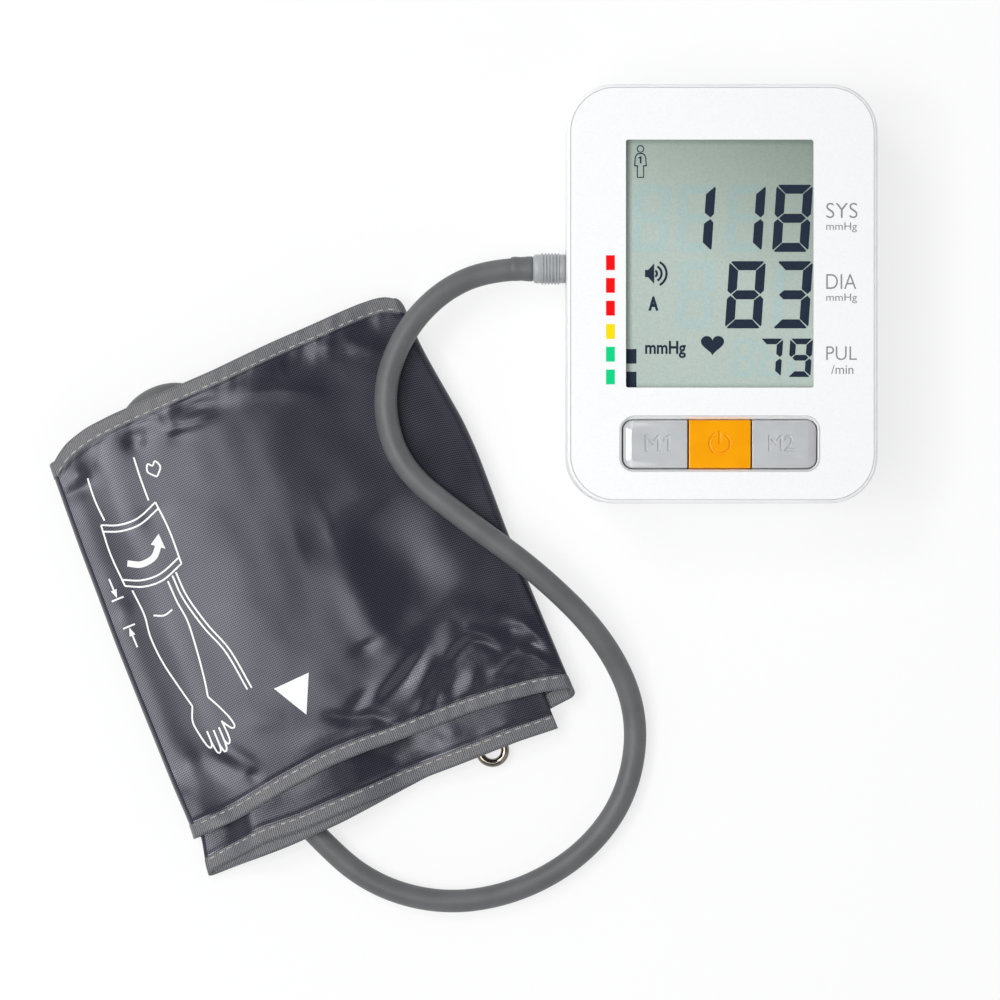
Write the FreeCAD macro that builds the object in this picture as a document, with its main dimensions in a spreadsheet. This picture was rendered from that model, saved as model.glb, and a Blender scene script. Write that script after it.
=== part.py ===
import FreeCAD, Part
import math
import os
import Sketcher

from FreeCAD import Placement, Rotation, Vector

# Upper-arm blood pressure monitor: a table console with a display and three buttons, an air hose
# with a push-in plug, and a folded wrap-round cuff with a D-ring.
# Millimetres, +Z up, the table is z = 0. The origin is the middle of the console and cuff, on the table.

doc = FreeCAD.newDocument("arm_pressure_monitor")
sheet = doc.addObject("Spreadsheet::Sheet", "sizes")

DRIVING_SIZES = [
    # console
    ("case_x", 91.3, "middle of the console in X"),
    ("case_y", 64.4, "middle of the console in Y"),
    ("case_width", 106.6, "console, left to right"),
    ("case_length", 144.0, "console, front to back"),
    ("case_corner", 16.5, "corner radius seen from above"),
    ("wall", 2.2, "wall of both covers"),
    ("base_bottom", 2.0, "underside of the base cover"),
    ("base_round", 5.0, "rounding between underside and sides"),
    ("parting", 22.0, "height where the two covers meet"),
    ("rim_top", 43.8, "top of the rim round the face plate"),
    ("rim_round", 1.0, "rounding of the rim"),
    ("deck_under", 40.4, "underside of the top cover's deck"),
    ("deck_top", 42.4, "where the face plate lies"),
    ("sink", 1.0, "how far a boss or rib is sunk into what carries it"),
    ("play", 0.1, "round a fixed piece, each side"),
    # face plate, window and display
    ("plate_width", 103.9, "face plate, left to right"),
    ("plate_length", 141.3, "face plate, front to back"),
    ("plate_corner", 15.2, "corner radius of the face plate"),
    ("plate_thick", 1.6, "face plate"),
    ("plate_gap", 0.15, "seam round the face plate"),
    ("window_width", 64.4, "window in the face plate"),
    ("window_length", 85.1, "window in the face plate"),
    ("window_corner", 0.8, "corner radius of the window"),
    ("window_dx", -0.9, "window's middle from the console's, X"),
    ("window_dy", 10.3, "window's middle from the console's, Y"),
    ("lens_border", 1.3, "how far the lens reaches past the window"),
    ("lens_thick", 1.2, "display lens"),
    ("deck_reach", 0.5, "hole in the deck past the window's edge"),
    ("glass_reach", 0.3, "glass past the window's edge"),
    ("glass_thick", 2.6, "display glass"),
    ("frame_thick", 2.0, "display frame"),
    ("frame_reach", 2.5, "frame past the window's edge"),
    ("frame_hole_x", -2.2, "hole in the frame past the window's edge, X"),
    ("frame_hole_y", -1.6, "hole in the frame past the window's edge, Y"),
    ("strip_short", 4.0, "contact strip's end from the window's edge"),
    ("strip_thick", 2.4, "contact strip"),
    ("strip_inset", 3.4, "contact strip's middle from the window's edge"),
    # buttons
    ("keys_dx", -0.9, "middle of the button row, X"),
    ("keys_dy", -51.7, "middle of the button row, Y"),
    ("key_pitch", 22.3, "from one button to the next"),
    ("key_width", 21.8, "one button"),
    ("key_length", 16.4, "one button"),
    ("key_corner", 3.4, "outer corner radius of the row"),
    ("key_top", 44.9, "top of a button at rest"),
    ("key_slot_gap", 0.4, "round the row of buttons"),
    ("key_slot_bevel", 0.9, "bevel round the row's slot"),
    ("key_inner_corner", 0.6, "corners of the middle button"),
    ("key_round", 0.5, "rounding of a button's top edge"),
    ("flange_thick", 1.6, "flange that holds a button under the deck"),
    ("flange_reach", 1.5, "flange past the button, front and back"),
    ("stem_radius", 2.5, "stem under a button"),
    ("stem_length", 4.0, "stem under a button's flange"),
    ("mat_length", 12.0, "keypad mat, front to back"),
    ("mat_thick", 0.8, "keypad mat"),
    ("dome_foot", 4.2, "keypad dome, radius at the mat"),
    ("dome_head", 2.6, "keypad dome, radius at its top"),
    ("dome_tall", 1.2, "keypad dome"),
    # board and screws
    ("board_under", 30.0, "underside of the main board"),
    ("board_thick", 1.6, "main board"),
    ("board_width", 84.0, "main board"),
    ("board_length", 115.0, "main board"),
    ("board_dy", -2.6, "middle of the board, Y"),
    ("post_x", 39.3, "board posts"),
    ("post_y", 49.0, "board posts"),
    ("post_radius", 2.6, "board post"),
    ("post_bore", 1.1, "hole in a board post, radius"),
    ("post_bore_deep", 6.0, "hole in a board post"),
    ("board_hole", 1.2, "hole in the board, radius"),
    ("short_head", 2.2, "board screw's head, radius"),
    ("short_head_tall", 1.6, "board screw's head"),
    ("short_shank", 1.05, "board screw's shank, radius"),
    ("short_bite", 4.5, "board screw in its post"),
    ("boss_x", 46.4, "case screws"),
    ("boss_y", 56.0, "case screws"),
    ("boss_radius", 3.5, "boss for a case screw"),
    ("screw_hole", 1.7, "clearance hole for a case screw, radius"),
    ("screw_well", 3.2, "well for a case screw's head, radius"),
    ("screw_seat", 12.0, "height of the case screws' seat"),
    ("screw_head", 2.9, "case screw's head, radius"),
    ("screw_head_tall", 2.4, "case screw's head"),
    ("screw_shank", 1.45, "case screw's shank, radius"),
    ("screw_shank_long", 20.0, "case screw's shank"),
    ("screw_drive", 1.2, "case screw's drive hole, radius"),
    ("screw_drive_deep", 1.5, "case screw's drive hole"),
    ("screw_bore", 1.5, "hole in the top cover's boss, radius"),
    ("screw_bore_deep", 13.0, "hole in the top cover's boss"),
    ("foot_x", 37.0, "rubber feet"),
    ("foot_y", 60.0, "rubber feet"),
    ("foot_radius", 5.0, "rubber foot"),
    ("foot_sink", 0.8, "how far a foot sits in the base cover"),
    ("sensor_dx", -17.0, "sensor and manifold from the console's middle, X"),
    ("sensor_size", 8.0, "pressure sensor"),
    ("sensor_tall", 3.5, "pressure sensor, and its barb"),
    ("speaker_dx", 28.0, "speaker from the console's middle, X"),
    ("speaker_dy", -45.0, "speaker from the console's middle, Y"),
    ("speaker_radius", 8.0, "speaker"),
    ("speaker_tall", 4.5, "speaker"),
    # batteries
    ("cell_radius", 7.15, "AA cell"),
    ("cell_length", 50.5, "AA cell with its button"),
    ("cell_button", 2.7, "button of a cell, radius"),
    ("cell_button_tall", 1.2, "button of a cell"),
    ("cell_pitch", 15.2, "from one cell to the next"),
    ("cell_axis", 11.4, "height of the cells' axes"),
    ("bay_dy", -31.0, "middle of the battery bay, Y"),
    ("bay_width", 58.4, "battery bay inside"),
    ("bay_length", 61.6, "battery bay inside"),
    ("bay_roof", 19.0, "inside of the bay's roof"),
    ("bay_wall", 1.6, "bay's walls and roof"),
    ("door_thick", 1.8, "battery door"),
    ("door_lip", 2.0, "ledge that the door lies on"),
    ("door_gap", 0.3, "round the door"),
    ("latch_width", 14.0, "latch of the door"),
    ("latch_thick", 1.6, "latch of the door"),
    ("latch_tall", 2.5, "latch of the door"),
    ("latch_inset", 1.2, "latch from the bay's front wall"),
    ("grip_width", 16.0, "finger grip in the door"),
    ("grip_length", 4.0, "finger grip in the door"),
    ("grip_deep", 0.7, "finger grip in the door"),
    ("grip_inset", 5.0, "finger grip from the bay's front wall"),
    ("contact_thick", 0.4, "contact plate"),
    ("contact_size", 11.0, "contact plate, square"),
    ("spring_wire", 0.3, "battery spring's wire, radius"),
    ("spring_radius", 3.0, "battery spring, at the wire's middle"),
    # air line
    ("port_height", 15.0, "axis of the air socket"),
    ("port_dy", 10.3, "air socket from the console's middle, Y"),
    ("plug_length", 11.5, "plug outside the console"),
    ("plug_radius", 5.05, "plug between its ribs"),
    ("rib_radius", 5.55, "ribs of the plug"),
    ("rib_pitch", 1.13, "from one rib to the next"),
    ("rib_thick", 0.6, "rib of the plug"),
    ("rib_start", 2.2, "first rib from the plug's rear"),
    ("plug_bore", 1.2, "air way through the plug, radius"),
    ("nozzle_radius", 3.9, "plug inside the socket"),
    ("nozzle_length", 11.8, "plug inside the socket"),
    ("groove_dx", 6.0, "seal's groove from the wall"),
    ("groove_width", 1.9, "seal's groove"),
    ("groove_radius", 2.2, "bottom of the seal's groove"),
    ("seal_radius", 3.05, "seal, at the middle of its wire"),
    ("seal_wire", 0.83, "seal's wire, radius"),
    ("socket_bore", 3.95, "socket's bore, radius"),
    ("socket_deep", 12.1, "socket's bore"),
    ("socket_radius", 6.2, "barrel of the socket"),
    ("barrel_length", 14.3, "barrel of the socket"),
    ("socket_rim", 8.4, "rim behind the wall, radius"),
    ("socket_rim_thick", 1.6, "rim behind the wall"),
    ("socket_barb", 8.0, "socket's barb"),
    ("lead_radius", 0.7, "leads inside the console"),
    ("air_way", 0.7, "air way through the socket's barb, radius"),
    ("hose_radius", 4.0, "air hose"),
    ("hose_flare", 4.4, "hose end pushed on the plug"),
    ("flare_length", 6.5, "hose end pushed on the plug"),
    ("tube_radius", 2.5, "silicone tubes inside"),
    ("barb_radius", 1.3, "barbs that the silicone tubes slip over"),
    ("barb_length", 6.0, "barbs of manifold and valve"),
    ("manifold", 10.0, "manifold, cube"),
    ("stand_size", 6.0, "foot of the manifold"),
    ("sensor_arm", 2.6, "manifold's barb towards the sensor"),
    ("valve_dx", 33.0, "exhaust valve from the console's middle, X"),
    ("valve_width", 15.0, "exhaust valve"),
    ("valve_length", 13.0, "exhaust valve"),
    ("valve_tall", 12.0, "exhaust valve"),
    ("pump_dy", 53.5, "pump's axis from the console's middle, Y"),
    ("pump_height", 17.0, "pump's axis"),
    ("pump_radius", 11.8, "pump and its motor"),
    ("pump_barb", 9.0, "pump's barb with its root"),
    ("pump_barb_out", 5.2, "pump's barb outside the pump"),
    ("head_length", 23.9, "pump head"),
    ("motor_dx", -4.0, "where motor and pump head meet, X"),
    ("motor_length", 30.0, "pump motor"),
    ("cradle_width", 34.0, "foam under the pump"),
    ("cradle_length", 21.0, "foam under the pump"),
    ("cradle_tall", 7.0, "foam under the pump"),
    ("inlet_size", 9.0, "power inlet, square"),
    ("inlet_length", 11.0, "power inlet"),
    ("inlet_bore", 2.75, "power inlet's bore, radius"),
    ("inlet_deep", 9.0, "power inlet's bore"),
    ("inlet_pin", 1.0, "power inlet's pin, radius"),
    # cuff
    ("cuff_x", -53.3, "middle of the folded cuff in X"),
    ("cuff_y", -31.9, "middle of the folded cuff in Y"),
    ("cuff_turn", 22.6, "turn of the folded cuff, degrees"),
    ("cuff_half", 69.5, "half the length of a folded panel"),
    ("strip_half", 72.5, "half the width of the strip"),
    ("inner_slip", 14.0, "how far the inner turn stands out at the front"),
    ("cloth", 0.6, "outer fabric and lining, each"),
    ("bag", 0.9, "empty bladder"),
    ("layer_gap", 0.3, "between folded layers"),
    ("ring_wire", 1.5, "D-ring wire, radius"),
    ("ring_length", 152.0, "D-ring, outside"),
    ("ring_width", 12.0, "D-ring, outside"),
    ("ring_x", 36.3, "middle of the D-ring in the cuff"),
    ("ring_y", -13.5, "middle of the D-ring in the cuff"),
    ("ring_z", 2.9, "height of the D-ring's wire"),
]

sheet.set("A1", "size")
sheet.set("B1", "mm")
sheet.set("C1", "what it is")
for row, (alias, value, meaning) in enumerate(DRIVING_SIZES, start=2):
    sheet.set(f"A{row}", alias)
    sheet.set(f"B{row}", str(value))
    sheet.setAlias(f"B{row}", alias)
    sheet.set(f"C{row}", meaning)
doc.recompute()

sub_parts = []


def size(alias):
    return float(sheet.get(alias))


def rule(text):
    """Turn a rule such as '2 * wall + 1' into one that reads the sheet."""
    words = []
    word = ""
    for letter in str(text) + " ":
        if letter.isalnum() or letter in "_.":
            word += letter
            continue
        words.append(f"sizes.{word}" if word[:1].isalpha() else word)
        words.append(letter)
        word = ""
    return "".join(words).strip()


def bind(item, **rules):
    for name, text in rules.items():
        item.setExpression(name, rule(text))
    return item


def put(item, x, y, z, turn=None):
    """Place an item by rules for x, y and z, with a fixed turn."""
    item.Placement = Placement(Vector(0, 0, 0), turn or Rotation())
    for axis, text in zip("xyz", (x, y, z)):
        item.setExpression(f"Placement.Base.{axis}", rule(text))
    return item


def in_case(item, x, y, z, turn=None):
    """Place an item from the console's middle, z from the table."""
    return put(item, f"case_x + ({x})", f"case_y + ({y})", z, turn)


def keep(item, label):
    item.Label = label
    sub_parts.append(item)
    return item


ALONG_X = Rotation(Vector(0, 1, 0), 90)
ALONG_Y = Rotation(Vector(1, 0, 0), -90)


def block(name, width, length, height, x, y, z):
    """A box in the console, centred on x and y and standing on z."""
    item = doc.addObject("Part::Box", name)
    bind(item, Length=width, Width=length, Height=height)
    return in_case(item, f"{x} - ({width}) / 2", f"{y} - ({length}) / 2", z)


def rod(name, radius, length, x, y, z, turn=None):
    """A cylinder in the console, starting at x, y, z."""
    item = doc.addObject("Part::Cylinder", name)
    bind(item, Radius=radius, Height=length)
    return in_case(item, x, y, z, turn)


def fuse(name, items):
    item = doc.addObject("Part::MultiFuse", name)
    item.Shapes = items
    item.Refine = True
    return item


def cut(name, base, tools):
    item = doc.addObject("Part::Cut", name)
    item.Base = base
    item.Tool = tools[0] if len(tools) == 1 else fuse(name + "_tools", tools)
    item.Refine = True
    return item


def group(name, items):
    item = doc.addObject("Part::Compound", name)
    item.Links = items
    return item


def at_corners(name, make, x, y):
    """Four like items at plus and minus x and y."""
    places = [(-1, -1), (1, -1), (1, 1), (-1, 1)]
    return [make(f"{name}_{n}", f"{a} * {x}", f"{b} * {y}") for n, (a, b) in enumerate(places, start=1)]


# ---- PartDesign helpers ----

SMALL = 0.001


def new_body(name):
    return doc.addObject("PartDesign::Body", name)


def flat_sketch(body, name, level):
    sketch = body.newObject("Sketcher::SketchObject", name)
    ground = [feature for feature in body.Origin.OriginFeatures if feature.Role == "XY_Plane"][0]
    sketch.AttachmentSupport = (ground, [""])
    sketch.MapMode = "FlatFace"
    sketch.setExpression("AttachmentOffset.Base.z", rule(level))
    return sketch


def rounded_outline(body, name, width, length, corner, level, x="0", y="0"):
    """A rounded rectangle about x and y: four lines, four arcs, held by three sizes.

    It is drawn at a rough size first; its constraints then pull it to the sheet's sizes.
    """
    sketch = flat_sketch(body, name, level)
    sketch.setExpression("AttachmentOffset.Base.x", rule(x))
    sketch.setExpression("AttachmentOffset.Base.y", rule(y))
    a, b, r = 40.0, 30.0, 5.0
    lines = [
        ((-a + r, -b), (a - r, -b)),
        ((a, -b + r), (a, b - r)),
        ((a - r, b), (-a + r, b)),
        ((-a, b - r), (-a, -b + r)),
    ]
    for start, end in lines:
        sketch.addGeometry(Part.LineSegment(Vector(*start, 0), Vector(*end, 0)))
    centres = [(a - r, -b + r), (a - r, b - r), (-a + r, b - r), (-a + r, -b + r)]
    for n, centre in enumerate(centres):
        circle = Part.Circle(Vector(*centre, 0), Vector(0, 0, 1), r)
        first = math.radians(270 + 90 * n)
        sketch.addGeometry(Part.ArcOfCircle(circle, first, first + math.pi / 2))
    for n in range(4):
        sketch.addConstraint(Sketcher.Constraint("Tangent", n, 2, 4 + n, 1))
        sketch.addConstraint(Sketcher.Constraint("Tangent", 4 + n, 2, (n + 1) % 4, 1))
    for n, way in enumerate(("Horizontal", "Vertical", "Horizontal", "Vertical")):
        sketch.addConstraint(Sketcher.Constraint(way, n))
    for n in (5, 6, 7):
        sketch.addConstraint(Sketcher.Constraint("Equal", 4, n))
    sketch.addConstraint(Sketcher.Constraint("Symmetric", 4, 3, 6, 3, -1, 1))
    held = [
        ("width", Sketcher.Constraint("DistanceX", 3, 1, 1, 1, 2 * a), width),
        ("length", Sketcher.Constraint("DistanceY", 0, 1, 2, 1, 2 * b), length),
        ("corner", Sketcher.Constraint("Radius", 4, r), corner),
    ]
    for label, constraint, text in held:
        index = sketch.addConstraint(constraint)
        sketch.renameConstraint(index, label)
        sketch.setExpression(f"Constraints.{label}", rule(text))
    return sketch


def pad(body, sketch, height):
    feature = body.newObject("PartDesign::Pad", sketch.Name + "_pad")
    feature.Profile = sketch
    feature.setExpression("Length", rule(height))
    doc.recompute()
    return feature


def pocket(body, sketch, depth, upwards=False):
    feature = body.newObject("PartDesign::Pocket", sketch.Name + "_pocket")
    before = body.Shape.Volume
    feature.Profile = sketch
    feature.Reversed = upwards
    feature.setExpression("Length", rule(depth))
    doc.recompute()
    if body.Shape.Volume > before - SMALL:
        raise RuntimeError(f"{feature.Name} cuts nothing")
    return feature


def edges_at(shape, level, within=None):
    """Names of the level edges at this height, all of them or those whose middle passes a test."""
    names = []
    for n, edge in enumerate(shape.Edges, start=1):
        if any(abs(corner.Point.z - level) > SMALL for corner in edge.Vertexes):
            continue
        if within is None or within(edge.CenterOfMass):
            names.append(f"Edge{n}")
    return names


def round_edges(body, base, names, radius, kind="Fillet"):
    feature = body.newObject(f"PartDesign::{kind}", f"{base.Name}_{kind.lower()}")
    feature.Base = (base, names)
    feature.setExpression("Radius" if kind == "Fillet" else "Size", rule(radius))
    doc.recompute()
    return feature


# ---- console: covers ----

FLOOR = "(base_bottom + wall)"
PANEL_TOP = "(deck_top + plate_thick)"
BOARD_TOP = "(board_under + board_thick)"
LEFT_WALL = "0 - case_width / 2"
RIGHT_WALL = "case_width / 2"


def make_base_cover():
    body = new_body("base_shell")
    outline = rounded_outline(body, "base_outline", "case_width", "case_length", "case_corner", "base_bottom")
    solid = pad(body, outline, "parting - base_bottom")
    round_edges(body, solid, edges_at(body.Shape, size("base_bottom")), "base_round")
    inner = rounded_outline(body, "base_inside", "case_width - 2 * wall", "case_length - 2 * wall",
                            "case_corner - wall", "parting")
    pocket(body, inner, f"parting - {FLOOR}")
    in_case(body, "0", "0", "0")
    bay_block = block("bay_block", "bay_width + 2 * bay_wall", "bay_length + 2 * bay_wall",
                      "bay_roof + bay_wall - base_bottom - sink", "0", "bay_dy", "base_bottom + sink")

    def boss(name, x, y):
        return rod(name, "boss_radius", "parting - base_bottom - sink", x, y, "base_bottom + sink")

    def screw_hole(name, x, y):
        return rod(name, "screw_hole", "parting", x, y, "0")

    def screw_well(name, x, y):
        return rod(name, "screw_well", "screw_seat", x, y, "0")

    def foot_well(name, x, y):
        return rod(name, "foot_radius + play / 2", "foot_sink", x, y, "base_bottom")

    walls = fuse("base_walls", [body, bay_block] + at_corners("base_boss", boss, "boss_x", "boss_y"))
    tools = [
        block("bay_space", "bay_width", "bay_length", "bay_roof", "0", "bay_dy", "0"),
        block("door_seat", "bay_width + 2 * door_lip", "bay_length + 2 * door_lip", "door_thick + play", "0",
              "bay_dy", "base_bottom"),
        rod("socket_hole", "socket_radius + play", "3 * wall", f"{LEFT_WALL} - wall", "port_dy", "port_height",
            ALONG_X),
        block("inlet_hole", "3 * wall", "inlet_size + 2 * play", "inlet_size + 2 * play", RIGHT_WALL, "port_dy",
              "port_height - inlet_size / 2 - play"),
    ]
    tools += at_corners("screw_hole", screw_hole, "boss_x", "boss_y")
    tools += at_corners("screw_well", screw_well, "boss_x", "boss_y")
    tools += at_corners("foot_well", foot_well, "foot_x", "foot_y")
    return cut("base_cover_cut", walls, tools)


def make_top_cover():
    body = new_body("top_shell")
    outline = rounded_outline(body, "top_outline", "case_width", "case_length", "case_corner", "parting")
    solid = pad(body, outline, "rim_top - parting")
    round_edges(body, solid, edges_at(body.Shape, size("rim_top")), "rim_round")
    inner = rounded_outline(body, "top_inside", "case_width - 2 * wall", "case_length - 2 * wall",
                            "case_corner - wall", "parting")
    pocket(body, inner, "deck_under - parting", upwards=True)
    recess = rounded_outline(body, "plate_recess", "plate_width + 2 * plate_gap", "plate_length + 2 * plate_gap",
                             "plate_corner + plate_gap", "rim_top")
    pocket(body, recess, "rim_top - deck_top")
    in_case(body, "0", "0", "0")

    def boss(name, x, y):
        return rod(name, "boss_radius", "deck_under - parting - play", x, y, "parting + 2 * play")

    def post(name, x, y):
        return rod(name, "post_radius", f"deck_under - {BOARD_TOP} + sink / 2", x, y, BOARD_TOP)

    def boss_hole(name, x, y):
        return rod(name, "screw_bore", "screw_bore_deep", x, y, "parting")

    def post_hole(name, x, y):
        return rod(name, "post_bore", "post_bore_deep", x, y, BOARD_TOP)

    walls = fuse("top_walls", [body] + at_corners("top_boss", boss, "boss_x", "boss_y")
                 + at_corners("board_post", post, "post_x", "post_y"))
    through = "deck_top - deck_under + 4 * sink"
    tools = [
        block("deck_window", "window_width + 2 * deck_reach", "window_length + 2 * deck_reach", through,
              "window_dx", "window_dy", "deck_under - 2 * sink"),
        block("lens_rebate", "window_width + 2 * lens_border + 2 * play",
              "window_length + 2 * lens_border + 2 * play", "lens_thick + sink", "window_dx", "window_dy",
              "deck_top - lens_thick"),
        block("deck_slot", "3 * key_pitch + 2 * key_slot_gap", "key_length + 2 * key_slot_gap", through,
              "keys_dx", "keys_dy", "deck_under - 2 * sink"),
    ]
    tools += at_corners("boss_hole", boss_hole, "boss_x", "boss_y")
    tools += at_corners("post_hole", post_hole, "post_x", "post_y")
    return cut("top_cover_cut", walls, tools)


def make_front_panel():
    body = new_body("front_panel_body")
    outline = rounded_outline(body, "panel_outline", "plate_width", "plate_length", "plate_corner", "deck_top")
    pad(body, outline, "plate_thick")
    window = rounded_outline(body, "panel_window", "window_width", "window_length", "window_corner", PANEL_TOP,
                             "window_dx", "window_dy")
    pocket(body, window, "plate_thick")
    slot = rounded_outline(body, "panel_slot", "2 * key_pitch + key_width + 2 * key_slot_gap",
                           "key_length + 2 * key_slot_gap", "key_corner + key_slot_gap", PANEL_TOP, "keys_dx",
                           "keys_dy")
    slotted = pocket(body, slot, "plate_thick")

    def round_the_slot(place):
        return abs(place.x) < 2 * size("key_pitch") and abs(place.y - size("keys_dy")) < size("key_length")

    names = edges_at(body.Shape, size("deck_top") + size("plate_thick"), round_the_slot)
    round_edges(body, slotted, names, "key_slot_bevel", "Chamfer")
    in_case(body, "0", "0", "0")
    return body


def make_door():
    """Flat plate with a rounded hinge edge at the back, and a latch and a finger grip at the front."""
    wide = "bay_width + 2 * door_lip - 2 * door_gap"
    long = "bay_length + 2 * door_lip - 2 * door_gap - door_thick / 2"
    front = "bay_dy - bay_length / 2"
    plate = block("door_plate", wide, long, "door_thick", "0", "bay_dy - door_thick / 4", "base_bottom")
    edge = rod("door_edge", "door_thick / 2", wide, f"0 - ({wide}) / 2",
               "bay_dy + bay_length / 2 + door_lip - door_gap - door_thick / 2", "base_bottom + door_thick / 2",
               ALONG_X)
    latch = block("door_latch", "latch_width", "latch_thick", "latch_tall", "0", f"{front} + latch_inset",
                  "base_bottom + door_thick")
    grip = block("door_grip", "grip_width", "grip_length", "grip_deep + play", "0", f"{front} + grip_inset",
                 "base_bottom - play")
    return cut("battery_door_cut", fuse("door_solid", [plate, edge, latch]), [grip])


keep(make_base_cover(), "base_cover")
keep(make_top_cover(), "top_cover")
keep(make_front_panel(), "front_panel")
keep(make_door(), "battery_door")


def foot(name, x, y):
    return rod(name, "foot_radius", "base_bottom + foot_sink", x, y, "0")


def case_screw(name, x, y):
    """Head down in its well, thread up in the top cover's boss."""
    head = rod(name + "_head", "screw_head", "screw_head_tall", x, y, "screw_seat - screw_head_tall")
    shank = rod(name + "_shank", "screw_shank", "screw_shank_long", x, y, "screw_seat")
    drive = rod(name + "_drive", "screw_drive", "screw_drive_deep", x, y, "screw_seat - screw_head_tall")
    return cut(name, fuse(name + "_solid", [head, shank]), [drive])


def board_screw(name, x, y):
    """Head under the board, thread up in the top cover's post."""
    head = rod(name + "_head", "short_head", "short_head_tall", x, y, "board_under - short_head_tall")
    shank = rod(name + "_shank", "short_shank", "board_thick + short_bite", x, y, "board_under")
    return fuse(name, [head, shank])


keep(group("feet", at_corners("foot", foot, "foot_x", "foot_y")), "rubber_feet")
keep(group("long_screws", at_corners("case_screw", case_screw, "boss_x", "boss_y")), "case_screws")
keep(group("short_screws", at_corners("board_screw", board_screw, "post_x", "post_y")), "board_screws")


# ---- console: display ----

GLASS_UNDER = "(deck_top - lens_thick - 2 * play - glass_thick)"


def in_window(name, reach_x, reach_y, height, z):
    """A sheet in the window, reaching past the window's edges by these amounts, or short of them."""
    return block(name, f"window_width + 2 * {reach_x}", f"window_length + 2 * {reach_y}", height, "window_dx",
                 "window_dy", z)


keep(in_window("lens_sheet", "lens_border", "lens_border", "lens_thick", "deck_top - lens_thick"), "display_lens")
keep(in_window("glass_sheet", "glass_reach", "glass_reach", "glass_thick", GLASS_UNDER), "display_glass")
frame_outer = in_window("frame_outer", "frame_reach", "frame_reach", "frame_thick",
                        f"{GLASS_UNDER} - frame_thick")
frame_inner = in_window("frame_inner", "frame_hole_x", "frame_hole_y", "frame_thick + 2 * sink",
                        f"{GLASS_UNDER} - frame_thick - sink")
keep(cut("display_frame_cut", frame_outer, [frame_inner]), "display_frame")
strips = [
    block(f"strip_{n}", "window_width - 2 * strip_short", "strip_thick", f"{GLASS_UNDER} - {BOARD_TOP}",
          "window_dx", f"window_dy + ({side}) * (window_length / 2 - strip_inset)", BOARD_TOP)
    for n, side in enumerate((-1, 1), start=1)
]
keep(group("strips", strips), "contact_strips")


# ---- console: buttons ----

FLANGE_UNDER = "(deck_under - flange_thick - 2 * play)"
KEY_COLUMNS = {"button_m1": -1, "button_power": 0, "button_m2": 1}


def make_key(name, column):
    """Cap, flange under the deck and stem; the outer corners of the row are rounded."""
    x = f"keys_dx + ({column}) * key_pitch"
    body = new_body(name + "_cap")
    corner = "key_corner" if column else "key_inner_corner"
    pad(body, rounded_outline(body, name + "_outline", "key_width", "key_length", corner, FLANGE_UNDER, x,
                              "keys_dy"), f"key_top - {FLANGE_UNDER}")
    round_edges(body, body.Tip, edges_at(body.Shape, size("key_top")), "key_round")
    in_case(body, "0", "0", "0")
    flange = block(name + "_flange", "key_width", "key_length + 2 * flange_reach", "flange_thick", x, "keys_dy",
                   FLANGE_UNDER)
    stem = rod(name + "_stem", "stem_radius", "stem_length + 2 * play", x, "keys_dy",
               f"{FLANGE_UNDER} - stem_length")
    return fuse(name + "_solid", [body, flange, stem])


def make_keypad():
    """Silicone mat on the board with a dome under each button."""
    mat = block("keypad_sheet", "3 * key_pitch", "mat_length", "mat_thick", "keys_dx", "keys_dy", BOARD_TOP)
    domes = []
    for name, column in KEY_COLUMNS.items():
        dome = doc.addObject("Part::Cone", name + "_dome")
        bind(dome, Radius1="dome_foot", Radius2="dome_head", Height="dome_tall")
        in_case(dome, f"keys_dx + ({column}) * key_pitch", "keys_dy", f"{BOARD_TOP} + mat_thick - play")
        domes.append(dome)
    return fuse("keypad_solid", [mat] + domes)


for key_name, key_column in KEY_COLUMNS.items():
    keep(make_key(key_name, key_column), key_name)
keep(make_keypad(), "keypad_mat")


# ---- console: board and what it carries ----

CHIPS = [
    # width, length, height, x, y
    (12, 12, 1.4, 12, 28),
    (7, 5, 1.4, 30, 30),
    (6, 6, 1.6, 4, 4),
]


def make_board():
    def hole(name, x, y):
        return rod(name, "board_hole", "board_thick + 2 * sink", x, y, "board_under - sink")

    plate = block("board_plate", "board_width", "board_length", "board_thick", "0", "board_dy", "board_under")
    return cut("board_cut", plate, at_corners("board_hole", hole, "post_x", "post_y"))


def make_sensor():
    body = block("sensor_body", "sensor_size", "sensor_size", "sensor_tall", "sensor_dx", "port_dy",
                 "board_under - sensor_tall")
    barb = rod("sensor_barb", "barb_radius", "sensor_tall + sink / 2", "sensor_dx", "port_dy",
               "board_under - 2 * sensor_tall")
    return fuse("sensor_solid", [body, barb])


keep(make_board(), "main_board")
chips = [
    block(f"chip_{n}", wide, long, tall, x, y, f"board_under - {tall}")
    for n, (wide, long, tall, x, y) in enumerate(CHIPS, start=1)
]
keep(group("chips", chips), "board_chips")
keep(rod("speaker_can", "speaker_radius", "speaker_tall", "speaker_dx", "speaker_dy",
         "board_under - speaker_tall"), "speaker")
keep(make_sensor(), "pressure_sensor")


# ---- console: air side ----

def make_pump_head():
    can = rod("head_can", "pump_radius", "head_length", "motor_dx - head_length - play", "pump_dy",
              "pump_height", ALONG_X)
    barb = rod("head_barb", "barb_radius", "pump_barb", "sensor_dx", "pump_dy - pump_radius - pump_barb_out",
               "port_height", ALONG_Y)
    return fuse("head_solid", [can, barb])


def make_cradle():
    """Foam block with a round hollow that the pump lies in."""
    foam = block("cradle_block", "cradle_width", "cradle_length", "cradle_tall", "0", "pump_dy", FLOOR)
    hollow = rod("cradle_hollow", "pump_radius + play / 2", "2 * motor_length", "0 - motor_length", "pump_dy",
                 "pump_height", ALONG_X)
    return cut("cradle_cut", foam, [hollow])


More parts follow.
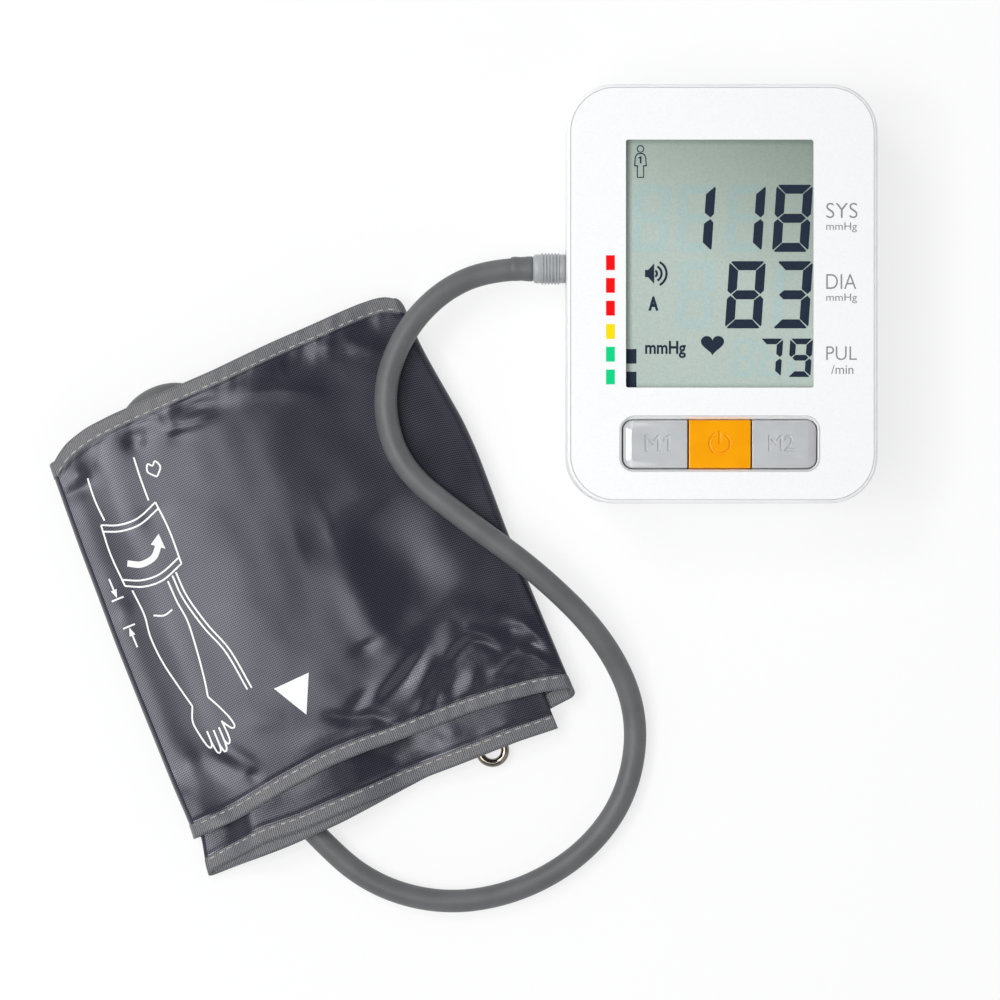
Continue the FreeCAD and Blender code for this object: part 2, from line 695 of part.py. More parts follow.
def make_valve():
    can = block("valve_can", "valve_width", "valve_length", "valve_tall", "valve_dx", "port_dy",
                "port_height - valve_tall / 2")
    barb = rod("valve_barb", "barb_radius", "barb_length", "valve_dx - valve_width / 2 - barb_length + sink",
               "port_dy", "port_height", ALONG_X)
    return fuse("valve_solid", [can, barb])


def make_manifold():
    """A block on a foot, with a barb to the socket, the valve, the pump and the sensor."""
    body = block("manifold_block", "manifold", "manifold", "manifold", "sensor_dx", "port_dy",
                 "port_height - manifold / 2")
    stand = block("manifold_stand", "stand_size", "stand_size", f"port_height - manifold / 2 - {FLOOR} + sink",
                  "sensor_dx", "port_dy", FLOOR)
    barbs = [
        rod("barb_to_socket", "barb_radius", "barb_length", "sensor_dx - manifold / 2 - barb_length", "port_dy",
            "port_height", ALONG_X),
        rod("barb_to_valve", "barb_radius", "barb_length", "sensor_dx + manifold / 2", "port_dy", "port_height",
            ALONG_X),
        rod("barb_to_pump", "barb_radius", "barb_length", "sensor_dx", "port_dy + manifold / 2", "port_height",
            ALONG_Y),
        rod("barb_to_sensor", "barb_radius", "sensor_arm", "sensor_dx", "port_dy",
            "port_height + manifold / 2"),
    ]
    return fuse("manifold_solid", [body, stand] + barbs)


keep(rod("motor_can", "pump_radius", "motor_length", "motor_dx", "pump_dy", "pump_height", ALONG_X),
     "pump_motor")
keep(make_pump_head(), "pump_head")
keep(make_cradle(), "pump_cradle")
keep(make_valve(), "exhaust_valve")
keep(block("valve_stand", "valve_width", "valve_length", f"port_height - valve_tall / 2 - {FLOOR}", "valve_dx",
           "port_dy", FLOOR), "valve_pad")
keep(make_manifold(), "air_manifold")


def air_tube(name, length, x, y, z, turn):
    """A silicone tube that slips over the barbs at its two ends; its bore runs out of both ends."""
    outer = rod(name + "_outside", "tube_radius", length, x, y, z, turn)
    step = turn.multVec(Vector(0, 0, -1))
    inner = rod(name + "_bore", "barb_radius + play / 2", f"{length} + 2 * sink", f"{x} + ({step.x:.0f}) * sink",
                f"{y} + ({step.y:.0f}) * sink", f"{z} + ({step.z:.0f}) * sink", turn)
    keep(cut(name + "_cut", outer, [inner]), name)


air_tube("tube_socket", "sensor_dx - manifold / 2 + case_width / 2 - barrel_length - 3 * play",
         f"{LEFT_WALL} + barrel_length + 2 * play", "port_dy", "port_height", ALONG_X)
air_tube("tube_valve", "valve_dx - valve_width / 2 - sensor_dx - manifold / 2 - 2 * play",
         "sensor_dx + manifold / 2 + play", "port_dy", "port_height", ALONG_X)
air_tube("tube_pump", "pump_dy - pump_radius - port_dy - manifold / 2 - 8 * play", "sensor_dx",
         "port_dy + manifold / 2 + play", "port_height", ALONG_Y)
air_tube("tube_sensor", "board_under - sensor_tall - port_height - manifold / 2 - 2 * play", "sensor_dx",
         "port_dy", "port_height + manifold / 2 + play", Rotation())


def make_socket():
    """Barrel through the left wall with a rim inside it, and a barb for the tube to the manifold."""
    def ring(name, radius, length, x):
        return rod(name, radius, length, f"{LEFT_WALL} + {x}", "port_dy", "port_height", ALONG_X)

    barrel = ring("socket_barrel", "socket_radius", "barrel_length", "play")
    rim = ring("socket_rim_disc", "socket_rim", "socket_rim_thick", "wall + play / 2")
    barb = ring("socket_barb_rod", "barb_radius", "socket_barb", "barrel_length - 3 * play")
    bore = ring("socket_bore_tool", "socket_bore", "socket_deep + sink", "0 - sink")
    air_way = ring("socket_air_way", "air_way", "barrel_length + 2 * socket_barb", "0 - sink")
    return cut("socket_cut", fuse("socket_solid", [barrel, rim, barb]), [bore, air_way])


def make_inlet():
    shell = block("inlet_shell", "inlet_length", "inlet_size", "inlet_size",
                  f"{RIGHT_WALL} - inlet_length / 2 - play", "port_dy", "port_height - inlet_size / 2")
    bore = rod("inlet_bore_tool", "inlet_bore", "inlet_deep", f"{RIGHT_WALL} - inlet_deep", "port_dy",
               "port_height", ALONG_X)
    pin = rod("inlet_pin_rod", "inlet_pin", "inlet_deep - sink", f"{RIGHT_WALL} - inlet_deep - sink / 2",
              "port_dy", "port_height", ALONG_X)
    return fuse("inlet_solid", [cut("inlet_cut", shell, [bore]), pin])


keep(make_socket(), "air_socket")
keep(make_inlet(), "power_inlet")


# ---- console: batteries ----

CELLS = range(4)
SPRING_TURNS = 3


def cell_row(n):
    return f"bay_dy + ({n} - 1.5) * cell_pitch"


def make_cell(n):
    """A can with its button; the cells lie head to tail."""
    button_on_right = n % 2
    can_start = "0 - cell_length / 2" if button_on_right else "0 - cell_length / 2 + cell_button_tall"
    button_start = "cell_length / 2 - cell_button_tall" if button_on_right else "0 - cell_length / 2"
    can = rod(f"cell_can_{n}", "cell_radius", "cell_length - cell_button_tall", can_start, cell_row(n),
              "cell_axis", ALONG_X)
    button = rod(f"cell_button_{n}", "cell_button", "cell_button_tall", button_start, cell_row(n), "cell_axis",
                 ALONG_X)
    return fuse(f"cell_{n}", [can, button])


def make_contact(n, side):
    """A plate against the bay's end wall, facing one end of one cell."""
    x = f"({side}) * (bay_width - contact_thick) / 2"
    return block(f"contact_{n}_{side + 2}", "contact_thick", "contact_size", "contact_size", x, cell_row(n),
                 "cell_axis - contact_size / 2")


def make_spring(n):
    """A coil from the contact plate to the flat end of a cell."""
    wire = size("spring_wire")
    radius = size("spring_radius")
    cell_end = size("cell_length") / 2
    plate = size("bay_width") / 2 - size("contact_thick")
    length = plate - cell_end - 2 * wire
    coil = Part.makeLongHelix(length / SPRING_TURNS, length, radius)
    profile = Part.Wire(Part.makeCircle(wire, Vector(radius, 0, 0), Vector(0, 1, 0)))
    item = doc.addObject("Part::Feature", f"spring_{n}")
    item.Shape = Part.Wire(coil.Edges).makePipeShell([profile], True, True)
    start = -plate if n % 2 else cell_end
    x = size("case_x") + start + wire
    y = size("case_y") + size("bay_dy") + (n - 1.5) * size("cell_pitch")
    item.Placement = Placement(Vector(x, y, size("cell_axis")), ALONG_X)
    return item


keep(group("cells", [make_cell(n) for n in CELLS]), "battery_cells")
keep(group("contacts", [make_contact(n, side) for n in CELLS for side in (-1, 1)]), "contact_plates")
keep(group("springs", [make_spring(n) for n in CELLS]), "battery_springs")


# ---- tubes and leads: straight runs joined by tangent arcs ----

ARC_SHARE = 0.45


def rounded_path(points):
    """Edges along the points, each corner an arc as large as its two runs allow; and the radii."""
    edges = []
    radii = []
    last = points[0]
    for before, corner, after in zip(points, points[1:], points[2:]):
        into = (corner - before).normalize()
        away = (after - corner).normalize()
        half_turn = into.getAngle(away) / 2
        reach = ARC_SHARE * min((corner - before).Length, (after - corner).Length)
        radii.append(reach / math.tan(half_turn))
        start = corner - into * reach
        end = corner + away * reach
        inward = (away - into).normalize()
        centre = corner + inward * (radii[-1] / math.cos(half_turn))
        middle = centre - inward * radii[-1]
        edges.append(Part.LineSegment(last, start).toShape())
        edges.append(Part.Arc(start, middle, end).toShape())
        last = end
    edges.append(Part.LineSegment(last, points[-1]).toShape())
    return edges, radii


def round_tube(name, points, radius):
    """A solid tube along the points; its volume is set against its section times its length."""
    edges, radii = rounded_path(points)
    path = Part.Wire(edges)
    direction = (points[1] - points[0]).normalize()
    profile = Part.Wire(Part.makeCircle(radius, points[0], direction))
    tube = path.makePipeShell([profile], True, False)
    expected = math.pi * radius ** 2 * path.Length
    if abs(tube.Volume / expected - 1) > 0.01:
        raise RuntimeError(f"{name} has {tube.Volume:.0f} mm3, its section and length give {expected:.0f}")
    item = doc.addObject("Part::Feature", name)
    item.Shape = tube
    print(f"{name}: {path.Length:.1f} mm, smallest radius {min(radii):.1f}, radii",
          " ".join(f"{radius:.0f}" for radius in radii))
    return item


def case_points(places):
    return [Vector(size("case_x") + x, size("case_y") + y, z) for x, y, z in places]


PUMP_LEAD = [(26.0, 51, 17), (31, 51, 17), (34, 47, 20), (34, 43, 24), (34, 43, 30)]
BATTERY_LEAD_ROWS = (-42, -20)


def battery_lead(n, y):
    """From a contact plate out through the bay's wall and up to the board."""
    places = [(30.8, y, 13), (34.5, y, 13), (37.5, y + 1, 18), (37.5, y + 1, 30)]
    return round_tube(f"battery_wire_{n}", case_points(places), size("lead_radius"))


keep(round_tube("pump_lead_wire", case_points(PUMP_LEAD), size("lead_radius")), "pump_leads")
battery_wires = [battery_lead(n, y) for n, y in enumerate(BATTERY_LEAD_ROWS, start=1)]
keep(group("battery_wires", battery_wires), "battery_leads")


# ---- air hose, plug and seal ----

HOSE_ROUTE = [
    (26.5, 74.7, 15.0),
    (12.0, 74.7, 15.0),
    (-5.5, 67.2, 15.8),
    (-19.5, 51.7, 16.8),
    (-26.7, 29.7, 17.2),
    (-20.5, 5.2, 17.2),
    (2.0, -12.8, 17.2),
    (28.5, -31.8, 16.3),
    (52.0, -55.3, 11.0),
    (64.0, -81.3, 4.3),
    (61.0, -108.8, 4.3),
    (46.5, -130.3, 4.3),
    (23.0, -144.8, 4.3),
    (-4.5, -149.8, 4.3),
    (-31.5, -142.3, 4.3),
    (-52.0, -123.3, 4.9),
    (-68.5, -103.1, 5.5),
    (-81.5, -80.8, 5.5),
    (-91.5, -56.8, 5.5),
    (-101.0, -31.3, 5.5),
    (-111.1, -6.1, 5.5),
    (-118.6, 13.4, 5.5),
    (-113.1, 26.9, 5.5),
    (-99.6, 32.5, 5.5),
    (-86.1, 27.0, 5.5),
    (-80.5, 13.7, 5.5),
]

hose = round_tube("hose_tube", [Vector(*place) for place in HOSE_ROUTE], size("hose_radius"))
flare = Part.makeCylinder(size("hose_flare"), size("flare_length"), Vector(*HOSE_ROUTE[0]), Vector(-1, 0, 0))
hose.Shape = hose.Shape.fuse(flare)
keep(hose, "air_hose")


PLUG_RIBS = 7


def make_plug():
    """Ribbed grip outside, nozzle with a groove for the seal inside, and the air way through both."""
    rear = f"{LEFT_WALL} - plug_length"

    def disc(name, radius, length, x):
        return rod(name, radius, length, x, "port_dy", "port_height", ALONG_X)

    body = disc("plug_body", "plug_radius", "plug_length - play", rear)
    ribs = [
        disc(f"plug_rib_{n + 1}", "rib_radius", "rib_thick", f"{rear} + rib_start + {n} * rib_pitch")
        for n in range(PLUG_RIBS)
    ]
    nozzle = disc("plug_nozzle", "nozzle_radius", "nozzle_length + 2 * play", f"{LEFT_WALL} - 2 * play")
    groove_outer = disc("groove_outer", "nozzle_radius + sink", "groove_width", f"{LEFT_WALL} + groove_dx")
    groove_core = disc("groove_core", "groove_radius", "groove_width", f"{LEFT_WALL} + groove_dx")
    air_way = disc("plug_air_way", "plug_bore", "2 * (plug_length + nozzle_length)", f"{rear} + sink / 2")
    groove = cut("plug_groove", groove_outer, [groove_core])
    return cut("plug_cut", fuse("plug_solid", [body, nozzle] + ribs), [groove, air_way])


def make_plug_seal():
    item = doc.addObject("Part::Torus", "seal_torus")
    bind(item, Radius1="seal_radius", Radius2="seal_wire")
    return in_case(item, f"{LEFT_WALL} + groove_dx + groove_width / 2", "port_dy", "port_height", ALONG_X)


keep(make_plug(), "air_plug")
keep(make_plug_seal(), "plug_seal")


# ---- cuff ----
# One strip of cloth, rolled up flat. From the free end it goes left (turn 2), round the inner left
# fold, right (turn 3), round the right fold, left on top (turn 1), round the outer left fold and
# right along the table (turn 4), where it ends in a loop round the D-ring.
# The cuff is made about its own middle, X along the strip, and turned into place at the end.

cloth = size("cloth")
bag = size("bag")
gap = size("layer_gap")
half = size("cuff_half")
hem_half = size("strip_half")
slip = size("inner_slip")
wire = size("ring_wire")

# Height of the underside of turn 3 along X, at the front hem and at the back hem: it lies on
# turn 4 at the left, rides over the hose, and over the D-ring at the right.
DRAPE = [
    # x, front, back
    (-66.0, 2.0, 2.0),
    (-58.0, 4.0, 4.0),
    (-49.5, 9.8, 9.8),
    (-27.0, 9.8, 9.8),
    (-18.0, 4.5, 10.6),
    (3.0, 2.3, 10.6),
    (14.0, 2.3, 5.6),
    (24.0, 6.2, 6.2),
    (48.0, 6.2, 6.2),
    (60.0, 5.0, 5.0),
    (69.0, 5.0, 5.0),
]


# The inner turns stand out towards -Y, turn 3 less and less towards its right fold, and the middle
# of turns 1 and 2 bows back towards +Y.
RIGHT_SLIP = 2.5
BOW = {1: 6.0, 2: 3.5, 3: 0.0}


def drape_height(x, y):
    """Height of the drape at x and y, by straight lines between its rows and its hems."""
    low, high = [(a, b) for a, b in zip(DRAPE, DRAPE[1:]) if x <= b[0] or b is DRAPE[-1]][0]
    share = min(max((x - low[0]) / (high[0] - low[0]), 0.0), 1.0)
    front = low[1] + share * (high[1] - low[1])
    back = low[2] + share * (high[2] - low[2])
    depth = (y + hem_half + slip) / (2 * hem_half + slip)
    return front + depth * (back - front)


def hem_shift(turn, x):
    """How far a turn's hems lie along Y from those of a straight strip about the cuff's middle."""
    shift = BOW[turn] * (1 - abs(x / half) ** 3)
    if turn == 2:
        shift -= slip
    if turn == 3:
        share = (x + half) / (2 * half)
        shift -= slip + share * (RIGHT_SLIP - slip)
    return shift


def loft_between(front, back):
    """A solid between two closed outlines with as many corners each."""
    return Part.makeLoft([Part.makePolygon(outline + outline[:1]) for outline in (front, back)], True, True)


def panel(turn, low, high, x_from, x_to, front, back):
    """A layer of a turn, from low to high above the drape, between two x and two y from its middle.

    Between two columns its faces are ruled, and its ends and hems are upright planes.
    """
    columns = [x_from] + [x for x, _, _ in DRAPE if x_from < x < x_to] + [x_to]

    def upright(x_pair, hem):
        corners = [(x, hem + hem_shift(turn, x)) for x in x_pair]
        under = [Vector(x, y, drape_height(x, y) + low) for x, y in corners]
        over = [Vector(x, y, drape_height(x, y) + high) for x, y in corners]
        return under + over[::-1]

    stretches = [loft_between(upright(pair, front), upright(pair, back)) for pair in zip(columns, columns[1:])]
    return stretches[0].multiFuse(stretches[1:]) if len(stretches) > 1 else stretches[0]


def flat_panel(low, high, x_from, x_to, front, back):
    return Part.makeBox(x_to - x_from, back - front, high - low, Vector(x_from, front, low))


def fold(turn, x, low, high, bulge, thick):
    """The cloth round a fold at x; low and high give its heights at y, bulge how far it stands out."""
    inner = bulge - math.copysign(thick, bulge)
    shoulder = x + 0.7 * bulge
    inner_shoulder = x + 0.6 * inner
    outlines = []
    for hem in (-hem_half, hem_half):
        y = hem + hem_shift(turn, x)
        bottom = low(x, y)
        top = high(x, y)
        middle = (bottom + top) / 2
        outlines.append([
            Vector(x, y, bottom),
            Vector(shoulder, y, bottom),
            Vector(x + bulge, y, middle),
            Vector(shoulder, y, top),
            Vector(x, y, top),
            Vector(x, y, top - thick),
            Vector(inner_shoulder, y, top - thick),
            Vector(x + inner, y, middle),
            Vector(inner_shoulder, y, bottom + thick),
            Vector(x, y, bottom + thick),
        ])
    return loft_between(outlines[0], outlines[1])


# Heights of each turn's faces above the drape. Turns 1 and 3 hold the bladder.
turn_3 = (0.0, 2 * cloth + bag)
turn_2 = (turn_3[1] + gap, turn_3[1] + gap + 2 * cloth)
turn_1 = (turn_2[1] + gap, turn_2[1] + gap + 2 * cloth + bag)
# Where the turns end, and how far their folds bulge past that.
LEFT_INNER = -66.0
LEFT_OUTER = -68.0
FREE_END = 61.0
RIGHT = 68.5
LEFT_INNER_BULGE = -1.6
LEFT_OUTER_BULGE = -2.2
RIGHT_BULGE = 2.4
RING_LOOP_X = size("ring_x") - size("ring_width") / 2 + wire
TABLE_END = RING_LOOP_X - 4

# What lies between and on the turns, by its distance from the hems and its ends along X.
STEP = 0.02
LINING_INSET = 4.0
BAG_INSET = 11.0
BAG_END = 60.0
HOOK_START = 16.0
LOOP_START = 6.0
LOOP_END = 60.0
LOOP_THICK = 0.4
BINDING_WIDTH = 5.0
BINDING_THICK = 0.26


def above_drape(offset):
    return lambda x, y: drape_height(x, y) + offset


def on_table(x, y):
    return 0.0


def make_outer_fabric():
    """Outer face of the whole strip: up on turns 1 and 2, down on turns 3 and 4."""
    whole = (-hem_half, hem_half)
    top = panel(1, turn_1[1] - cloth, turn_1[1], LEFT_OUTER, RIGHT, *whole)
    inner_top = panel(2, turn_2[1] - cloth, turn_2[1], LEFT_INNER, FREE_END, *whole)
    inner_low = panel(3, turn_3[0], turn_3[0] + cloth, LEFT_INNER, RIGHT, *whole)
    bottom = flat_panel(0.0, cloth, LEFT_OUTER, TABLE_END, *whole)
    right_fold = fold(3, RIGHT, above_drape(turn_3[0]), above_drape(turn_1[1]), RIGHT_BULGE, cloth)
    left_inner = fold(2, LEFT_INNER, above_drape(turn_3[0]), above_drape(turn_2[1]), LEFT_INNER_BULGE, cloth)
    left_outer = fold(1, LEFT_OUTER, on_table, above_drape(turn_1[1]), LEFT_OUTER_BULGE, cloth)
    return top.fuse([inner_top, inner_low, bottom, right_fold, left_inner, left_outer])


def make_lining():
    """Skin side of the strip, on the inside of every turn."""
    inset = (-hem_half + LINING_INSET, hem_half - LINING_INSET)
    top = panel(1, turn_1[0], turn_1[0] + cloth - STEP, LEFT_OUTER + STEP, RIGHT - STEP, *inset)
    inner_top = panel(2, turn_2[0], turn_2[0] + cloth - STEP, LEFT_INNER + STEP, HOOK_START - STEP, *inset)
    inner_low = panel(3, turn_3[1] - cloth + STEP, turn_3[1], LEFT_INNER + STEP, RIGHT - STEP, *inset)
    bottom = flat_panel(cloth + STEP, 2 * cloth, LEFT_OUTER + 1, TABLE_END, *inset)
    return Part.makeCompound([top, inner_top, inner_low, bottom])


def make_bladder():
    """Flat air bag in turns 1 and 3, between the outer fabric and the lining."""
    inset = (-hem_half + BAG_INSET, hem_half - BAG_INSET)
    top = panel(1, turn_1[0] + cloth + STEP, turn_1[1] - cloth - STEP, -BAG_END, BAG_END, *inset)
    low = panel(3, turn_3[0] + cloth + STEP, turn_3[1] - cloth - STEP, -BAG_END, BAG_END, *inset)
    return Part.makeCompound([top, low])


def make_hook_patch():
    """Hooks on the skin side of the free end."""
    inset = (-hem_half + LINING_INSET, hem_half - LINING_INSET)
    return panel(2, turn_2[0], turn_2[0] + cloth - STEP, HOOK_START, FREE_END, *inset)


def make_loop_patch():
    """Loop pile sewn on the outer fabric of turn 3, where the hooks land."""
    return panel(3, -STEP - LOOP_THICK, -STEP, LOOP_START, LOOP_END, -hem_half + 2 * LINING_INSET,
                 hem_half - 4 * LINING_INSET)


def make_binding():
    """Ribbed tape on the front hems of turns 1 and 2."""
    bands = []
    for turn, faces, x_from, x_to in ((1, turn_1, LEFT_OUTER, RIGHT), (2, turn_2, LEFT_INNER, FREE_END)):
        over = faces[1] + STEP
        bands.append(panel(turn, over, over + BINDING_THICK, x_from, x_to, -hem_half, -hem_half + BINDING_WIDTH))
    return Part.makeCompound(bands)


def cuff_item(name, shape):
    """An item of the cuff, made about the cuff's middle and turned into place."""
    item = doc.addObject("Part::Feature", name)
    item.Shape = shape
    item.Placement = Placement(Vector(size("cuff_x"), size("cuff_y"), 0),
                               Rotation(Vector(0, 0, 1), size("cuff_turn")))
    return item


def make_ring():
    """Chromed wire, bent to a long loop with round ends."""
    reach_x = size("ring_width") / 2 - wire
    reach_y = size("ring_length") / 2 - size("ring_width") / 2
    x, y, z = size("ring_x"), size("ring_y"), size("ring_z")
    corners = [Vector(x + a * reach_x, y + b * reach_y, z) for a, b in ((-1, -1), (1, -1), (1, 1), (-1, 1))]
    front = Vector(x, y - reach_y - reach_x, z)
    back = Vector(x, y + reach_y + reach_x, z)
    path = Part.Wire([
        Part.LineSegment(corners[3], corners[0]).toShape(),
        Part.Arc(corners[0], front, corners[1]).toShape(),
        Part.LineSegment(corners[1], corners[2]).toShape(),
        Part.Arc(corners[2], back, corners[3]).toShape(),
    ])
    profile = Part.Wire(Part.makeCircle(wire, corners[3], Vector(0, -1, 0)))
    return path.makePipeShell([profile], True, False)


LOOP_LENGTH = 2 * hem_half - 30
LOOP_WALL = 0.9
TAB_WIDTH = 9.0
TAB_THICK = 1.5


def make_ring_loop():
    """End of turn 4, sewn back round the D-ring's left bar."""
    bore_radius = wire + STEP
    x, y, z = RING_LOOP_X, size("ring_y") - LOOP_LENGTH / 2, size("ring_z")
    sleeve = Part.makeCylinder(bore_radius + LOOP_WALL, LOOP_LENGTH, Vector(x, y, z), Vector(0, 1, 0))
    tab = Part.makeBox(TAB_WIDTH, LOOP_LENGTH, TAB_THICK, Vector(x - TAB_WIDTH, y, 2 * cloth + STEP))
    bore = Part.makeCylinder(bore_radius, LOOP_LENGTH, Vector(x, y, z), Vector(0, 1, 0))
    return sleeve.fuse(tab).cut(bore)


# Moulded air port under turn 3: a block that the hose runs into, and a neck up into the bladder.
PORT_X = -7.6
PORT_Y = 46.5
PORT_WIDTH = 9.0
PORT_LENGTH = 12.0
PORT_UNDER = 1.5
PORT_TOP = 9.1
NECK_RADIUS = 3.1
NECK_TALL = 1.1
NECK_PLAY = 0.1

neck_place = Vector(PORT_X, PORT_Y - 1, PORT_TOP)
port_hole = Part.makeCylinder(NECK_RADIUS + NECK_PLAY, NECK_TALL + 8 * NECK_PLAY, neck_place)
port_corner = Vector(PORT_X - PORT_WIDTH / 2, PORT_Y - PORT_LENGTH / 2, PORT_UNDER)
port_body = Part.makeBox(PORT_WIDTH, PORT_LENGTH, PORT_TOP - PORT_UNDER, port_corner)
port_neck = Part.makeCylinder(NECK_RADIUS, NECK_TALL, neck_place)
keep(cuff_item("fabric", make_outer_fabric().cut(port_hole)), "cuff_fabric")
keep(cuff_item("lining", make_lining()), "cuff_lining")
keep(cuff_item("bag", make_bladder().cut(port_hole)), "bladder")
keep(cuff_item("hooks", make_hook_patch()), "hook_patch")
keep(cuff_item("loops", make_loop_patch()), "loop_patch")
keep(cuff_item("binding", make_binding()), "cuff_binding")
keep(cuff_item("port", port_body.fuse(port_neck)), "cuff_port")
keep(cuff_item("ring_loop", make_ring_loop()), "ring_loop")
keep(cuff_item("ring", make_ring()), "d_ring")

doc.recompute()

# ---- check and write ----

for item in doc.Objects:
    if "Invalid" in item.State or "Error" in item.State:
        raise RuntimeError(f"{item.Label} did not rebuild: {item.State}")
for item in sub_parts:
    if item.Shape.isNull() or not item.Shape.isValid():
        raise RuntimeError(f"{item.Label} has no valid shape")

os.makedirs("parts", exist_ok=True)
for item in sub_parts:
    item.Shape.exportStep(f"parts/{item.Label}.step")
    solids = item.Shape.Solids
    print(f"{item.Label}: {len(solids)} solids, {item.Shape.Volume:.0f} mm3")
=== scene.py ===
"""Upper-arm blood pressure monitor: console, air hose with plug and rolled cuff, over its frame."""

import math

import bpy
import numpy as np
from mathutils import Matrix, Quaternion, Vector, noise
from mathutils.bvhtree import BVHTree


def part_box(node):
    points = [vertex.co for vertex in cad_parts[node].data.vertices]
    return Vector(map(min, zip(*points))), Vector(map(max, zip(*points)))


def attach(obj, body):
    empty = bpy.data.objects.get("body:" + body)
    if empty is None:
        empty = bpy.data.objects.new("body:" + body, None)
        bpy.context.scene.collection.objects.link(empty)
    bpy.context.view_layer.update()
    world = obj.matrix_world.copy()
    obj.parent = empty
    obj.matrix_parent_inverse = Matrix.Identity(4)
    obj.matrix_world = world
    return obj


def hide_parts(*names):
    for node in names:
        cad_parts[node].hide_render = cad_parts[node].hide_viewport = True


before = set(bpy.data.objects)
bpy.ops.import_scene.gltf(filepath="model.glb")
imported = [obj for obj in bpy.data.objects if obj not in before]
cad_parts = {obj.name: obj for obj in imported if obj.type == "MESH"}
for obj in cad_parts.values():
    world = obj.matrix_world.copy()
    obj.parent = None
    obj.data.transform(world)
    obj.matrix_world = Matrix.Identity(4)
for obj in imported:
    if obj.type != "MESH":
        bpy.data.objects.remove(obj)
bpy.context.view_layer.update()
scene = bpy.context.scene
scene.view_settings.view_transform = "Standard"


# ---- camera ----
# It looks straight down from 1.3 m, far enough for the console and the cuff to show hardly any side,
# and takes in 355 mm of the table.

CAMERA_X = 0.0150
CAMERA_Y = -0.0064
CAMERA_HEIGHT = 1.3
VIEW_WIDTH = 0.355
SENSOR = 36.0

camera_data = bpy.data.cameras.new("camera")
camera_data.sensor_width = SENSOR
camera_data.lens = SENSOR * CAMERA_HEIGHT / VIEW_WIDTH
camera = bpy.data.objects.new("camera", camera_data)
camera.location = (CAMERA_X, CAMERA_Y, CAMERA_HEIGHT)
scene.collection.objects.link(camera)
scene.camera = camera


# ---- air hose ----
# The hose from the plug to the cuff's port: extruded soft PVC, 8 mm across, bare and matt. It leaves
# the plug, crosses over the cuff, runs round on the table and goes back in under the cuff.

HOSE_RADIUS = 0.0040
HOSE_ROUTE = [
    (0.0265, 0.0747, 0.0150),
    (0.0120, 0.0747, 0.0150),
    (-0.0055, 0.0672, 0.0158),
    (-0.0195, 0.0517, 0.0168),
    (-0.0267, 0.0297, 0.0172),
    (-0.0205, 0.0052, 0.0172),
    (0.0020, -0.0128, 0.0172),
    (0.0285, -0.0318, 0.0163),
    (0.0520, -0.0553, 0.0110),
    (0.0640, -0.0813, 0.0043),
    (0.0610, -0.1088, 0.0043),
    (0.0465, -0.1303, 0.0043),
    (0.0230, -0.1448, 0.0043),
    (-0.0045, -0.1498, 0.0043),
    (-0.0315, -0.1423, 0.0043),
    (-0.0520, -0.1233, 0.0049),
    (-0.0685, -0.1031, 0.0055),
    (-0.0815, -0.0808, 0.0055),
    (-0.0915, -0.0568, 0.0055),
    (-0.1010, -0.0313, 0.0055),
    (-0.1111, -0.0061, 0.0055),
    (-0.1186, 0.0134, 0.0055),
    (-0.1131, 0.0269, 0.0055),
    (-0.0996, 0.0325, 0.0055),
    (-0.0861, 0.0270, 0.0055),
    (-0.0805, 0.0137, 0.0055),
]


def linear(colour):
    """An sRGB hex colour as Blender's linear RGBA."""
    parts = [int(colour[i:i + 2], 16) / 255 for i in (0, 2, 4)]
    return [p / 12.92 if p <= 0.04045 else ((p + 0.055) / 1.055) ** 2.4 for p in parts] + [1.0]


def add_node(material, kind, inputs=None, **settings):
    """Adds a shader node; inputs gives its sockets numbers, colours, or the sockets that feed them."""
    node = material.node_tree.nodes.new("ShaderNode" + kind)
    for name, value in settings.items():
        setattr(node, name, value)
    for name, value in (inputs or {}).items():
        if isinstance(value, bpy.types.NodeSocket):
            material.node_tree.links.new(value, node.inputs[name])
        else:
            node.inputs[name].default_value = value
    return node


def new_material(name):
    material = bpy.data.materials.new(name)
    material.use_nodes = True
    material.node_tree.nodes.clear()
    return material


def finish_material(material, shader):
    add_node(material, "OutputMaterial", {"Surface": shader.outputs[0]})
    return material


def finish_surface(material, pattern, colours, gloss, inputs, relief=None, ends=(0.0, 1.0),
                   gloss_pattern=None, blend="LINEAR"):
    """Finishes a material whose tone runs between two hex colours, at two ends of a pattern.

    gloss is one roughness, or two that the pattern, or gloss_pattern, runs between. relief is a
    pattern of bumps, its strength and its depth in metres. inputs are the shader's other values.
    """
    tone = add_node(material, "ValToRGB", {"Fac": pattern})
    tone.color_ramp.interpolation = blend
    for element, end, colour in zip(tone.color_ramp.elements, ends, colours):
        element.position = end
        element.color = linear(colour)
    inputs = {"Base Color": tone.outputs["Color"], "Roughness": gloss, **inputs}
    if isinstance(gloss, tuple):
        spread = add_node(material, "MapRange", {"Value": gloss_pattern or pattern,
                                                 "To Min": gloss[0], "To Max": gloss[1]})
        inputs["Roughness"] = spread.outputs["Result"]
    if relief:
        height, strength, depth = relief
        bump = add_node(material, "Bump", {"Height": height, "Strength": strength, "Distance": depth})
        inputs["Normal"] = bump.outputs["Normal"]
    return finish_material(material, add_node(material, "BsdfPrincipled", inputs))


def dress(piece, *materials):
    piece.data.materials.clear()
    for material in materials:
        piece.data.materials.append(material)


def fit(piece, name, body, slot, *replaced):
    """Names a finished piece, ties it to its body and hides the CAD nodes it stands for; slot is not used."""
    piece.name = name
    piece.data.name = name
    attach(piece, body)
    if replaced:
        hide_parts(*replaced)


